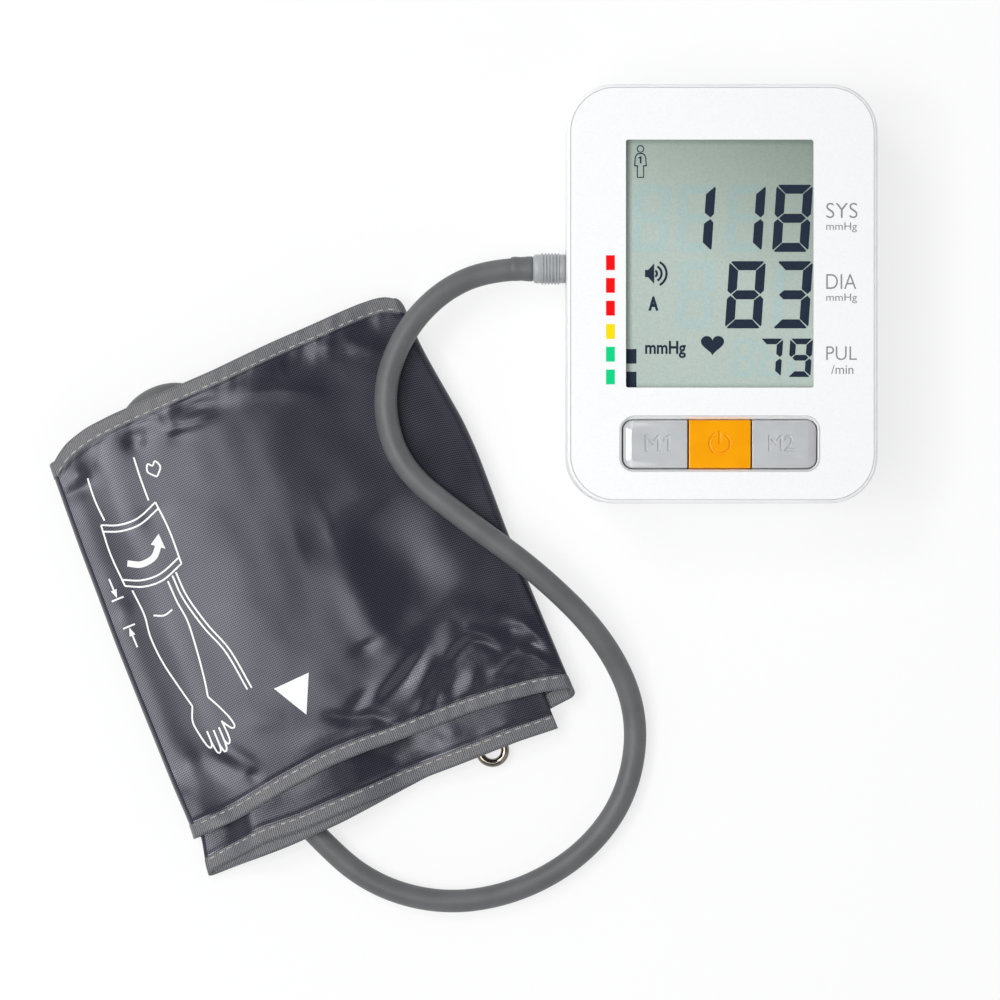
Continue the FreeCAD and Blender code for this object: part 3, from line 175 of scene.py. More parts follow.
def hose_rubber():
    """Soft PVC, extruded: matt mid grey, with a faint bloom that drifts over 11 mm. A grain breaks its
    gloss; it is drawn 0.4 mm coarse, so that it shows."""
    material = new_material("extruded_pvc_hose")
    place = add_node(material, "TexCoord").outputs["Object"]
    bloom = add_node(material, "TexNoise", {"Vector": place, "Scale": 90.0, "Detail": 3.0})
    grain = add_node(material, "TexNoise", {"Vector": place, "Scale": 2600.0, "Detail": 2.0})
    return finish_surface(material, bloom.outputs["Fac"], ("5D5E60", "666769"), (0.44, 0.56), {"IOR": 1.5},
                          (grain.outputs["Fac"], 0.25, 0.00006), (0.35, 0.68))


def make_hose():
    curve = bpy.data.curves.new("air_hose_line", "CURVE")
    curve.dimensions = "3D"
    spline = curve.splines.new("NURBS")
    spline.points.add(len(HOSE_ROUTE) - 1)
    for point, place in zip(spline.points, HOSE_ROUTE):
        point.co = (*place, 1.0)
    spline.order_u = 3
    spline.use_endpoint_u = True
    spline.resolution_u = 14
    bare = bpy.data.objects.new("hose_line", curve)
    scene.collection.objects.link(bare)
    line = bpy.data.meshes.new_from_object(bare)
    points = np.array([vertex.co[:] for vertex in line.vertices])
    curve.bevel_depth = HOSE_RADIUS
    curve.bevel_resolution = 7
    curve.use_fill_caps = True
    return bare, points


hose_pvc = hose_rubber()
hose, hose_line = make_hose()
dress(hose, hose_pvc)
fit(hose, "hose_run", "air_line", "hose_rubber", "air_hose")


# ---- hose collar ----
# A short swelling where the hose is pushed over the plug's tail; the same soft PVC, stretched tight.

COLLAR_STATIONS = [
    (18.8, 4.00), (19.6, 4.22), (20.4, 4.30), (21.4, 4.22), (22.2, 4.15), (23.4, 4.24), (24.8, 4.38),
    (26.0, 4.42), (26.45, 4.30),
]
PLUG_Y = 74.7
PLUG_Z = 15.0
MM = 0.001


def deselect():
    bpy.ops.object.select_all(action="DESELECT")


def pick(piece):
    """Makes a piece the only one that is selected, and the active one."""
    deselect()
    piece.select_set(True)
    bpy.context.view_layer.objects.active = piece


def apply_place(piece):
    """Puts a piece's place into its mesh, so that its object sits at the origin."""
    pick(piece)
    bpy.ops.object.transform_apply(location=True, rotation=True, scale=True)


def clean_faces(piece):
    """Merges a piece's doubled points and turns its faces outwards."""
    pick(piece)
    bpy.ops.object.mode_set(mode="EDIT")
    bpy.ops.mesh.select_all(action="SELECT")
    bpy.ops.mesh.remove_doubles(threshold=0.002 * MM)
    bpy.ops.mesh.normals_make_consistent(inside=False)
    bpy.ops.object.mode_set(mode="OBJECT")


def smooth(piece, angle=35.0):
    pick(piece)
    bpy.ops.object.shade_smooth_by_angle(angle=math.radians(angle))


def turned(stations, segments=72):
    """A round solid along X, drawn out ring by ring through its stations of place and radius, in mm."""
    deselect()
    x, radius = stations[0]
    y, z = PLUG_Y * MM, PLUG_Z * MM
    bpy.ops.mesh.primitive_circle_add(vertices=segments, radius=radius * MM, fill_type="NGON",
                                      location=(x * MM, y, z), rotation=(0, math.pi / 2, 0))
    bpy.ops.object.mode_set(mode="EDIT")
    for next_x, next_radius in stations[1:]:
        bpy.ops.mesh.extrude_region_move(TRANSFORM_OT_translate={"value": ((next_x - x) * MM, 0, 0)})
        share = next_radius / radius
        bpy.ops.transform.resize(value=(1, share, share), center_override=(next_x * MM, y, z))
        x, radius = next_x, next_radius
    bpy.ops.object.mode_set(mode="OBJECT")
    piece = bpy.context.object
    clean_faces(piece)
    apply_place(piece)
    smooth(piece)
    return piece


collar = turned(COLLAR_STATIONS)
dress(collar, hose_pvc)
fit(collar, "hose_collar", "air_line", "hose_rubber")


# ---- air plug ----
# The ribbed plug that is pushed into the console's left side: moulded grey ABS with six finger
# ribs, a plain band at each end, and a nose with a rubber ring in a groove.

RIB_START = 29.4
RIB_PITCH = 1.14
PLUG_RIBS = 6


def plug_stations():
    stations = [(26.5, 3.9), (26.62, 4.35), (27.1, 4.88), (27.5, 5.05), (29.25, 5.05)]
    for rib in range(PLUG_RIBS):
        start = RIB_START + rib * RIB_PITCH
        stations += [(start, 5.0), (start + 0.12, 5.42), (start + 0.24, 5.52), (start + 0.56, 5.52),
                     (start + 0.68, 5.42), (start + 0.8, 5.0)]
    stations += [(36.45, 5.05), (37.6, 5.05), (37.9, 4.9), (37.92, 3.85), (43.8, 3.85), (43.95, 3.75)]
    stations += [(44.0, 2.25), (45.85, 2.25), (45.9, 3.75), (46.1, 3.85), (49.2, 3.85), (49.7, 3.4)]
    return stations


def plug_plastic():
    """Grey ABS from a polished mould: light grey with a soft clear gloss and slight swirls of 5 mm."""
    material = new_material("moulded_abs_plug")
    place = add_node(material, "TexCoord").outputs["Object"]
    swirl = add_node(material, "TexNoise", {"Vector": place, "Scale": 220.0, "Detail": 2.0})
    return finish_surface(material, swirl.outputs["Fac"], ("9FA1A3", "ABADAF"), (0.24, 0.34), {"IOR": 1.53},
                          ends=(0.3, 0.7))


plug = turned(plug_stations(), 96)
dress(plug, plug_plastic())
fit(plug, "plug_body", "air_line", "plug_grey", "air_plug")


def dull_moulding(name, colours, gloss):
    """Rubber, or plastic as dull: a deep even tone with a dusty mottle of 2.5 mm, and a fine grain, drawn
    0.3 mm coarse so that it shows."""
    material = new_material(name)
    place = add_node(material, "TexCoord").outputs["Object"]
    dust = add_node(material, "TexNoise", {"Vector": place, "Scale": 400.0, "Detail": 4.0})
    grain = add_node(material, "TexNoise", {"Vector": place, "Scale": 3500.0})
    return finish_surface(material, dust.outputs["Fac"], colours, gloss, {"IOR": 1.5},
                          (grain.outputs["Fac"], 0.3, 0.00005))


def dress_node(name, material):
    """Gives a CAD node its material; its mesh stays as it is."""
    dress(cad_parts[name], material)


dress_node("plug_seal", dull_moulding("moulded_nitrile_seal", ("1B1C1E", "26272A"), (0.42, 0.55)))


# ---- console case ----
# Base and top cover, two white shells that meet half way up and are screwed together from below;
# the battery door closes the base. Injection-moulded ABS with a fine satin grain.

def satin_moulding(name, colours, gloss, depth=0.00003):
    """Plastic from an etched mould: a tone faintly clouded over 25 mm, and a grain that spreads its gloss,
    drawn 0.25 mm coarse so that it shows."""
    material = new_material(name)
    place = add_node(material, "TexCoord").outputs["Object"]
    cloud = add_node(material, "TexNoise", {"Vector": place, "Scale": 40.0, "Detail": 2.0})
    grain = add_node(material, "TexNoise", {"Vector": place, "Scale": 4000.0, "Detail": 1.0}).outputs["Fac"]
    return finish_surface(material, cloud.outputs["Fac"], colours, gloss, {"IOR": 1.53},
                          (grain, 0.2, depth), (0.3, 0.7), grain)


case_white = satin_moulding("moulded_abs_case", ("ECEDEF", "F2F3F4"), (0.3, 0.42))
for case_node in ("base_cover", "top_cover", "battery_door"):
    dress_node(case_node, case_white)


# ---- feet and screws ----
# Four cast polyurethane feet are glued into the base; zinc-plated steel screws sit deep in its
# wells and hold the circuit board inside.

def bright_steel(name, colours, gloss):
    """Plated or drawn steel: bright grey metal with a faint crystalline mottle, drawn 1 mm coarse."""
    material = new_material(name)
    place = add_node(material, "TexCoord").outputs["Object"]
    mottle = add_node(material, "TexVoronoi", {"Vector": place, "Scale": 900.0})
    return finish_surface(material, mottle.outputs["Distance"], colours, gloss, {"Metallic": 1.0})


zinc_steel = bright_steel("zinc_plated_steel", ("9C9C98", "BDBDB8"), (0.25, 0.4))
dress_node("rubber_feet", dull_moulding("cast_polyurethane_feet", ("2A2A2C", "38383B"), (0.55, 0.7)))
dress_node("case_screws", zinc_steel)
dress_node("board_screws", zinc_steel)


# ---- air socket and power inlet ----
# The grey acetal socket that takes the plug sits in the left wall. The barrel jack for a mains
# adapter, in the right one, is a black nylon moulding.

black_nylon = dull_moulding("moulded_black_nylon", ("17181A", "202123"), (0.35, 0.5))
dress_node("air_socket", satin_moulding("moulded_grey_acetal", ("8E9092", "97999B"), (0.3, 0.4), 0.00002))
dress_node("power_inlet", black_nylon)


# ---- front panel ----
# A thin moulded plate over the whole top, let into the cover with a hair gap round it. Its white
# lacquer carries fine pearl flakes, so it sparkles a little more than the case.

def pearl_lacquer():
    """Pearl lacquer on ABS: white, a touch darker or brighter fleck by 0.4 mm fleck, under clear gloss."""
    material = new_material("pearl_lacquered_abs")
    place = add_node(material, "TexCoord").outputs["Object"]
    flecks = add_node(material, "TexVoronoi", {"Vector": place, "Scale": 2400.0})
    fleck = add_node(material, "SeparateColor", {"Color": flecks.outputs["Color"]}).outputs
    return finish_surface(material, fleck["Red"], ("F6F7F8", "FBFCFC"), (0.3, 0.5),
                          {"Coat Weight": 0.25, "Coat Roughness": 0.12, "IOR": 1.5},
                          (fleck["Blue"], 0.04, 0.00004), gloss_pattern=fleck["Green"])


dress_node("front_panel", pearl_lacquer())


# ---- display ----
# A clear acrylic lens behind the panel's window, and under it the LCD: a polarised glass cell with a
# grey-green ground, held by a black frame over rubber contact strips.

# The window's left and right edge, and its foot and head, in mm.
WINDOW_X = (58.0, 123.0)
WINDOW_Y = (32.0, 117.0)


def clear_acrylic():
    """Cast acrylic with an anti-glare coat: clear, so only a weak gloss shows, stronger at a slant."""
    material = new_material("clear_cast_acrylic")
    slant = add_node(material, "Fresnel", {"IOR": 1.25})
    inside = add_node(material, "NewGeometry").outputs["Backfacing"]
    outside = add_node(material, "Math", {0: 1.0, 1: inside}, operation="SUBTRACT")
    share = add_node(material, "Math", {0: slant.outputs["Fac"], 1: outside.outputs[0]},
                     operation="MULTIPLY")
    clear = add_node(material, "BsdfTransparent", {"Color": linear("FFFFFF")})
    gloss = add_node(material, "BsdfGlossy", {"Color": linear("FFFFFF"), "Roughness": 0.05})
    return finish_material(material, add_node(material, "MixShader", {
        0: share.outputs[0], 1: clear.outputs[0], 2: gloss.outputs[0]}))


def lcd_ground(name, pale, deep):
    """Twisted-nematic cell: grey-green with painted shade towards its head and right side, and a 0.7 mm
    mottle.
    """
    material = new_material(name)
    place = add_node(material, "TexCoord").outputs["Object"]
    axes = add_node(material, "SeparateXYZ", {"Vector": place})
    # Painted shade: the ground darkens towards the window's head and towards its right side.
    head_shade, right_shade = [
        add_node(material, "MapRange", {"Value": axes.outputs[axis], "From Min": low * MM,
                                        "From Max": high * MM, "To Max": shade_share}).outputs["Result"]
        for axis, (low, high), shade_share in (("Y", WINDOW_Y, 0.7), ("X", WINDOW_X, 0.3))]
    share = add_node(material, "Math", {0: head_shade, 1: right_shade}, operation="ADD")
    ground = add_node(material, "ValToRGB", {"Fac": share.outputs["Value"]})
    ground.color_ramp.elements[0].position = 0.48
    ground.color_ramp.elements[0].color = linear(pale)
    ground.color_ramp.elements[1].color = linear(deep)
    mottle = add_node(material, "TexNoise", {"Vector": place, "Scale": 1500.0, "Detail": 3.0})
    tone = add_node(material, "MapRange", {"Value": mottle.outputs["Fac"], "From Min": 0.3,
                                           "From Max": 0.7, "To Min": 0.93, "To Max": 1.05})
    colour = add_node(material, "Mix", {0: 1.0, 6: ground.outputs["Color"], 7: tone.outputs["Result"]},
                      data_type="RGBA", blend_type="MULTIPLY")
    return finish_material(material, add_node(material, "BsdfPrincipled", {
        "Base Color": colour.outputs[2], "Roughness": 0.55, "IOR": 1.3}))


dress_node("display_lens", clear_acrylic())
dress_node("display_glass", lcd_ground("lcd_reflector_ground", "B9C7BF", "8C9A90"))
dress_node("display_frame", dull_moulding("moulded_black_abs_frame", ("141416", "1C1C1F"), (0.4, 0.5)))
dress_node("contact_strips", dull_moulding("carbon_silicone_strips", ("3C3D42", "5A5B60"), (0.5, 0.65)))


# ---- display segments ----
# What the LCD shows: liquid crystal between the glasses, dark blue where it is switched on, and a
# faint trace in the ground where it is off. Slanted seven-part digits, signs, and two scale marks.

GLASS_TOP = 41.0
SEGMENT_THICK = 0.05
GHOST_THICK = 0.02
SLANT = 1.6 / 23.0
SEGMENTS_OF = {"1": "bc", "3": "abcdg", "7": "abc", "8": "abcdefg", "9": "abcdfg"}
# A digit's width and height, and how wide its upright and its level parts are.
TALL_DIGIT = (14.1, 23.1, 3.6, 3.1)
LOW_DIGIT = (8.7, 13.2, 2.3, 1.95)
SEGMENT_GAP = 0.34
CORNER_CUT = 1.1


def flat_shape(outlines, z, thick, bevel=0.0):
    """A flat shape of closed outlines in mm, thick mm tall from z; an outline in another one is a hole."""
    curve = bpy.data.curves.new("outline", "CURVE")
    curve.dimensions = "2D"
    curve.fill_mode = "BOTH"
    curve.extrude = thick / 2
    curve.bevel_depth = bevel
    for outline in outlines:
        spline = curve.splines.new("POLY")
        spline.points.add(len(outline) - 1)
        for point, (x, y) in zip(spline.points, outline):
            point.co = (x, y, 0.0, 1.0)
        spline.use_cyclic_u = True
    shape = bpy.data.objects.new("outline", curve)
    shape.location.z = (z + thick / 2) * MM
    return mesh_from_mm(shape)


def mesh_from_mm(shape):
    """Turns text or a flat curve drawn in mm into a mesh in metres."""
    if shape.name not in scene.collection.objects:
        scene.collection.objects.link(shape)
    shape.scale = (MM, MM, MM)
    pick(shape)
    bpy.ops.object.convert(target="MESH")
    shape = bpy.context.object
    apply_place(shape)
    return shape


def joined(pieces):
    deselect()
    for piece in pieces:
        piece.select_set(True)
    bpy.context.view_layer.objects.active = pieces[0]
    bpy.ops.object.join()
    return pieces[0]


def digit_outlines(x, y, size, parts):
    """Outlines of a digit's parts, its foot's left corner at x and y, with pointed ends and light gaps."""
    width, height, upright, level = size
    gap = SEGMENT_GAP
    middle = height / 2
    half = level / 2
    cut = CORNER_CUT * height / TALL_DIGIT[1]
    inner = width - upright
    top_bar = [(cut / 2 + gap / 2, height - cut / 2 + gap / 2), (cut, height), (width - cut, height),
               (width - cut / 2 - gap / 2, height - cut / 2 + gap / 2), (inner - gap / 2, height - level),
               (upright + gap / 2, height - level)]
    upper_side = [(width, height - cut), (width, middle + gap + cut),
                  (width - 0.35 * upright, middle + 0.8 * gap),
                  (inner, middle + half + gap), (inner, height - level - gap / 2),
                  (width - cut / 2 + gap / 2, height - cut / 2 - gap / 2)]
    shapes = {
        "a": top_bar,
        "b": upper_side,
        "c": [(px, height - py) for px, py in upper_side],
        "d": [(px, height - py) for px, py in top_bar],
        "e": [(width - px, height - py) for px, py in upper_side],
        "f": [(width - px, py) for px, py in upper_side],
        "g": [(0.4 * upright + gap, middle), (upright, middle + half), (inner, middle + half),
              (width - 0.4 * upright - gap, middle), (inner, middle - half), (upright, middle - half)],
    }
    lean = width - SLANT * height
    squeeze = lean / width
    return [[(x + px * squeeze + SLANT * py, y + py) for px, py in shapes[part]] for part in parts]


def arc(x, y, radius, start, end, steps=24):
    """Points of an arc, from start to end in degrees."""
    angles = [math.radians(start + (end - start) * n / steps) for n in range(steps + 1)]
    return [(x + radius * math.cos(a), y + radius * math.sin(a)) for a in angles]


def band(x, y, inner, outer, start, end):
    """The outline of an arc-shaped band."""
    return arc(x, y, outer, start, end) + arc(x, y, inner, end, start)


def bar(x_from, x_to, y_from, y_to):
    return [(x_from, y_from), (x_to, y_from), (x_to, y_to), (x_from, y_to)]


def lettering(words, box, z, thick, weight=0.0, bevel=0.0):
    """Words as a mesh that fills box, x from and to and y from and to in mm, and stands thick mm on z."""
    deselect()
    bpy.ops.object.text_add()
    text = bpy.context.object
    text.data.body = words
    text.data.size = 10.0
    text.data.resolution_u = 6
    text.data.offset = weight
    text.data.extrude = thick / 2
    text.data.bevel_depth = bevel
    shape = mesh_from_mm(text)
    corners = [vertex.co for vertex in shape.data.vertices]
    low = Vector([min(corner[axis] for corner in corners) for axis in range(3)])
    high = Vector([max(corner[axis] for corner in corners) for axis in range(3)])
    x_from, x_to, y_from, y_to = box
    scale_x = (x_to - x_from) * MM / (high.x - low.x)
    scale_y = (y_to - y_from) * MM / (high.y - low.y)
    for corner in corners:
        corner.x = x_from * MM + (corner.x - low.x) * scale_x
        corner.y = y_from * MM + (corner.y - low.y) * scale_y
        corner.z = z * MM + corner.z - low.z
    return shape


DIGIT_ROWS = [
    # words, foot, left edge of each digit, size
    (" 118", 78.9, (60.0, 75.15, 92.4, 108.5), TALL_DIGIT),
    (" 83", 52.6, (75.15, 92.3, 108.5), TALL_DIGIT),
    (" 79", 35.9, (94.6, 103.7, 113.9), LOW_DIGIT),
]


def make_digits():
    lit = []
    unlit = []
    for words, foot, columns, size in DIGIT_ROWS:
        for digit, x in zip(words, columns):
            on = SEGMENTS_OF.get(digit, "")
            off = "".join(part for part in "abcdefg" if part not in on)
            lit += digit_outlines(x, foot, size, on)
            unlit += digit_outlines(x, foot, size, off)
    return lit, unlit


PERSON_X = 63.3
PERSON_HEAD = 114.3
HEAD_RADII = (1.3, 0.95)
PERSON_OUTER = [(0.9, 112.9), (1.6, 112.3), (2.0, 111.2), (2.2, 108.3), (1.25, 108.3), (1.25, 104.35)]
PERSON_INNER = [(0.75, 112.5), (1.3, 112.05), (1.65, 111.1), (1.8, 108.7), (0.9, 108.7), (0.9, 104.7)]


def person_sign():
    """Round head, and a body with sloping arms and straight legs, drawn as an outline."""
    bodies = [[(PERSON_X + side * x, y) for side in (1, -1) for x, y in half[::side]]
              for half in (PERSON_OUTER, PERSON_INNER)]
    return bodies + [arc(PERSON_X, PERSON_HEAD, radius, 0, 345, 23) for radius in HEAD_RADII]


ONE_SIGN = [(63.1, 109.3), (63.65, 109.3), (63.65, 111.75), (63.2, 111.75), (62.6, 111.35), (62.6, 110.9),
            (63.1, 111.1)]
SPEAKER_CONE = [(64.85, 70.2), (65.9, 70.2), (68.0, 67.95), (68.0, 74.95), (65.9, 72.7), (64.85, 72.7)]
WAVES_X = 67.8
WAVES_Y = 71.45
WAVE_RADII = (0.75, 2.35, 4.05)
WAVE_WIDE = 0.78


def speaker_sign():
    waves = [band(WAVES_X, WAVES_Y, radius, radius + WAVE_WIDE, -62, 62) for radius in WAVE_RADII]
    return [SPEAKER_CONE] + waves


HEART_X = 88.05
HEART_Y = 47.2
HEART_WIDE = 8.0
HEART_TALL = 6.8
HEART_POINTS = 40
# Half the height of the curve that draws it.
HEART_CURVE = 14.5


def heart_sign():
    outline = []
    for n in range(HEART_POINTS):
        turn = 2 * math.pi * n / HEART_POINTS
        x = math.sin(turn) ** 3
        y = 13 * math.cos(turn) - 5 * math.cos(2 * turn) - 2 * math.cos(3 * turn) - math.cos(4 * turn)
        outline.append((HEART_X + x * HEART_WIDE / 2, HEART_Y + y / HEART_CURVE * HEART_TALL / 2))
    return [outline]


def liquid_crystal():
    """Liquid crystal, switched on: dark as ink, with a trace of a 1.2 mm mottle, and dull under the glass."""
    material = new_material("liquid_crystal_on")
    place = add_node(material, "TexCoord").outputs["Object"]
    mottle = add_node(material, "TexNoise", {"Vector": place, "Scale": 800.0})
    return finish_surface(material, mottle.outputs["Fac"], ("162234", "1E2C41"), 0.6, {"IOR": 1.3})


SCALE_MARKS = [bar(58.0, 61.9, 40.5, 45.5), bar(58.0, 61.9, 32.4, 37.7)]
lit_shapes, unlit_shapes = make_digits()
segments = joined([
    flat_shape(lit_shapes, GLASS_TOP, SEGMENT_THICK),
    flat_shape(person_sign() + speaker_sign() + heart_sign() + SCALE_MARKS, GLASS_TOP, SEGMENT_THICK),
    flat_shape([ONE_SIGN], GLASS_TOP, SEGMENT_THICK),
    lettering("A", (66.0, 69.5, 58.7, 63.6), GLASS_TOP, SEGMENT_THICK, 0.5),
    lettering("mmHg", (64.9, 78.9, 42.4, 48.3), GLASS_TOP, SEGMENT_THICK, 0.24),
])
dress(segments, liquid_crystal())
fit(segments, "lcd_segments", "console", "lcd")
ghosts = flat_shape(unlit_shapes, GLASS_TOP, GHOST_THICK)
# The resting segments carry the same painted shade towards the head and right side.
dress(ghosts, lcd_ground("liquid_crystal_off", "B3C8C4", "869B95"))
fit(ghosts, "lcd_resting_segments", "console", "lcd")


# ---- printing on the panel ----
# Labels beside the three rows and the six-step scale: screen-printed ink, a few hundredths of a
# millimetre thick, grey for the words and signal colours for the scale.

PANEL_TOP = 44.0
INK_THICK = 0.04
LABELS = [
    # words, box, weight
    ("SYS", (126.9, 137.6, 90.3, 95.5), -0.1),
    ("mmHg", (126.9, 137.4, 85.4, 88.8), 0.0),
    ("DIA", (126.9, 137.2, 66.0, 71.1), -0.1),
    ("mmHg", (126.9, 137.4, 61.1, 64.4), 0.0),
    ("PUL", (126.9, 137.4, 41.6, 46.3), -0.1),
    ("/min", (128.6, 136.2, 36.8, 40.0), 0.0),
]
SCALE_STEPS = [(75.0, "red"), (67.2, "red"), (59.4, "red"), (51.4, "yellow"), (43.6, "green"),
               (35.8, "green")]
SCALE_INKS = {"red": "F60006", "yellow": "FBDF00", "green": "00D686"}
SCALE_LEFT = 51.35
SCALE_WIDTH = 3.05
STEP_TALL = 5.1


def printed_ink(name, colour):
    """Screen-printed ink: one flat tone with the grain of a 0.2 mm screen, and a low gloss."""
    material = new_material(name)
    place = add_node(material, "TexCoord").outputs["Object"]
    screen = add_node(material, "TexNoise", {"Vector": place, "Scale": 5000.0})
    tone = add_node(material, "MapRange", {"Value": screen.outputs["Fac"], "To Min": 0.95, "To Max": 1.05})
    ink = add_node(material, "Mix", {0: 1.0, 6: linear(colour), 7: tone.outputs["Result"]},
                   data_type="RGBA", blend_type="MULTIPLY")
    return finish_material(material, add_node(material, "BsdfPrincipled", {
        "Base Color": ink.outputs[2], "Roughness": 0.45, "IOR": 1.2}))


labels = joined([lettering(words, box, PANEL_TOP, INK_THICK, weight) for words, box, weight in LABELS])
dress(labels, printed_ink("screen_ink_grey", "8A8C8F"))
fit(labels, "panel_labels", "console", "white_panel")
for step_colour, step_ink in SCALE_INKS.items():
    steps = [bar(SCALE_LEFT, SCALE_LEFT + SCALE_WIDTH, y - STEP_TALL / 2, y + STEP_TALL / 2)
             for y, colour in SCALE_STEPS if colour == step_colour]
    printed = flat_shape(steps, PANEL_TOP, INK_THICK)
    dress(printed, printed_ink("screen_ink_" + step_colour, step_ink))
    fit(printed, "scale_" + step_colour, "console", "white_panel")


# ---- buttons ----
# Three caps in one rounded slot, grey for the two memories and orange for power. Moulded ABS with
# sunk signs; the row's outer ends slope down, and a flange holds each cap under the deck.

KEYS_Y = 12.75
KEY_TOP = 44.9
KEY_DEEP = 16.4
KEY_CORNER = 3.4
# The outer end's roll: distance in from its edge, and how far it lies below the top.
KEY_END = [(0.0, 1.2), (1.05, 0.57), (2.8, 0.0)]
KEY_EDGE = 0.35
EDGE_ANGLE = 30.0
SMOOTH_ANGLE = 12.0
FLANGE_THICK = 1.6
FLANGE_REACH = 1.5
STEM_LENGTH = 4.0
STEM_RADIUS = 2.5
SIGN_DEEP = 0.45
CUTTER_TALL = 1.0


def apply_modifiers(piece):
    pick(piece)
    for modifier in list(piece.modifiers):
        bpy.ops.object.modifier_apply(modifier=modifier.name)


def new_piece(name, vertices, faces):
    """A piece from its points, in metres, and its faces."""
    mesh = bpy.data.meshes.new(name)
    mesh.from_pydata(vertices, [], faces)
    piece = bpy.data.objects.new(name, mesh)
    scene.collection.objects.link(piece)
    return piece


def box_piece(x_from, x_to, y_from, y_to, z_from, z_to):
    """A block in mm, as the start of a piece, with its place in its mesh."""
    deselect()
    bpy.ops.mesh.primitive_cube_add(
        size=1.0, location=((x_from + x_to) / 2 * MM, (y_from + y_to) / 2 * MM, (z_from + z_to) / 2 * MM),
        scale=((x_to - x_from) * MM, (y_to - y_from) * MM, (z_to - z_from) * MM))
    piece = bpy.context.object
    apply_place(piece)
    return piece


def end_ring(x_inner, x_outer, inset, drop):
    """A cap's outline, inset; its outer end lies drop mm low, less and less round both corners."""
    side = math.copysign(1.0, x_outer - x_inner)
    half = KEY_DEEP / 2
    radius = KEY_CORNER - inset
    ring = [(x_inner + side * inset, KEYS_Y - half + inset, KEY_TOP)]
    for centre_y, start in ((KEYS_Y - half + KEY_CORNER, -90), (KEYS_Y + half - KEY_CORNER, 0)):
        for x, y in arc(0.0, centre_y, radius, start, start + 90, 10):
            ring.append((x_outer - side * (KEY_CORNER - x), y, KEY_TOP - drop * x / radius))
    return ring + [(x_inner + side * inset, KEYS_Y + half - inset, KEY_TOP)]


def end_cap(x_inner, x_outer, flange_under):
    """A cap at the row's end: rounded corners, and a top that rolls down towards the outer end."""
    rings = [end_ring(x_inner, x_outer, inset, drop) for inset, drop in KEY_END]
    rings.insert(0, [(x, y, flange_under) for x, y, _ in rings[0]])
    count = len(rings[0])
    faces = [list(range(count)), [(len(rings) - 1) * count + n for n in range(count)]]
    for level in range(len(rings) - 1):
        faces += [[level * count + n, level * count + (n + 1) % count,
                   (level + 1) * count + (n + 1) % count, (level + 1) * count + n] for n in range(count)]
    cap = new_piece("key_cap", [(x * MM, y * MM, z * MM) for ring in rings for x, y, z in ring], faces)
    clean_faces(cap)
    return cap


def make_cap(x_from, x_to, outer_side, flange_under, sign):
    """A cap with softened edges, a sunk sign, a flange and a stem."""
    y_from, y_to = KEYS_Y - KEY_DEEP / 2, KEYS_Y + KEY_DEEP / 2
    if outer_side > 0:
        cap = end_cap(x_from, x_to, flange_under)
    elif outer_side < 0:
        cap = end_cap(x_to, x_from, flange_under)
    else:
        cap = box_piece(x_from, x_to, y_from, y_to, flange_under, KEY_TOP)
    bevel = cap.modifiers.new("edges", "BEVEL")
    bevel.width = KEY_EDGE * MM
    bevel.segments = 3
    bevel.limit_method = "ANGLE"
    bevel.angle_limit = math.radians(EDGE_ANGLE)
    groove = cap.modifiers.new("sign", "BOOLEAN")
    groove.object = sign
    groove.solver = "EXACT"
    groove.use_self = True
    apply_modifiers(cap)
    bpy.data.objects.remove(sign)
    flange = box_piece(x_from, x_to, y_from - FLANGE_REACH, y_to + FLANGE_REACH, flange_under,
                       flange_under + FLANGE_THICK)
    deselect()
    bpy.ops.mesh.primitive_cylinder_add(
        vertices=32, radius=STEM_RADIUS * MM, depth=STEM_LENGTH * MM,
        location=((x_from + x_to) / 2 * MM, KEYS_Y * MM, (flange_under - STEM_LENGTH / 2) * MM))
    stem = bpy.context.object
    apply_place(stem)
    return joined([cap, flange, stem])


def key_plastic(name, colours, gloss):
    """ABS from a fine-sparked mould: a colour that drifts a little over 8 mm, and a silky gloss from the
    sparks' pits, drawn 0.33 mm coarse."""
    material = new_material(name)
    place = add_node(material, "TexCoord").outputs["Object"]
    drift = add_node(material, "TexNoise", {"Vector": place, "Scale": 120.0, "Detail": 2.0})
    spark = add_node(material, "TexNoise", {"Vector": place, "Scale": 3000.0})
    return finish_surface(material, drift.outputs["Fac"], colours, gloss, {"IOR": 1.53},
                          (spark.outputs["Fac"], 0.12, 0.00003), (0.3, 0.7))


SIGN_FOOT = 10.3
SIGN_HEAD = 16.0
SIGN_WEIGHT = -0.16
POWER_X = 90.45
POWER_Y = 13.0
# The ring's inner and outer radius, and its opening in degrees; the bar's ends above the middle.
POWER_RING = (3.42, 3.68)
POWER_OPEN = (57, 123)
POWER_FOOT = 0.2
POWER_HEAD = 4.1
STROKE = 0.26
KEY_ONE = [(72.75, 10.75), (73.1, 10.75), (73.1, 15.55), (72.7, 15.55), (71.4, 14.6), (71.4, 14.25),
           (72.75, 15.0)]


def power_sign():
    """A ring open at its top, with an upright bar in the opening."""
    ring = band(POWER_X, POWER_Y, *POWER_RING, POWER_OPEN[1], POWER_OPEN[0] + 360)
    upright = bar(POWER_X - STROKE / 2, POWER_X + STROKE / 2, POWER_Y + POWER_FOOT, POWER_Y + POWER_HEAD)
    return flat_shape([ring, upright], KEY_TOP, CUTTER_TALL, SIGN_DEEP)


def letter_sign(words, x_from, x_to):
    return lettering(words, (x_from, x_to, SIGN_FOOT, SIGN_HEAD), KEY_TOP - SIGN_DEEP, CUTTER_TALL,
                     SIGN_WEIGHT, SIGN_DEEP)


def rounded_outline(x_from, x_to, y_from, y_to, radius):
    """A rectangle with rounded corners."""
    corners = [(x_to - radius, y_to - radius, 0), (x_from + radius, y_to - radius, 90),
               (x_from + radius, y_from + radius, 180), (x_to - radius, y_from + radius, 270)]
    return [point for x, y, start in corners for point in arc(x, y, radius, start, start + 90, 10)]


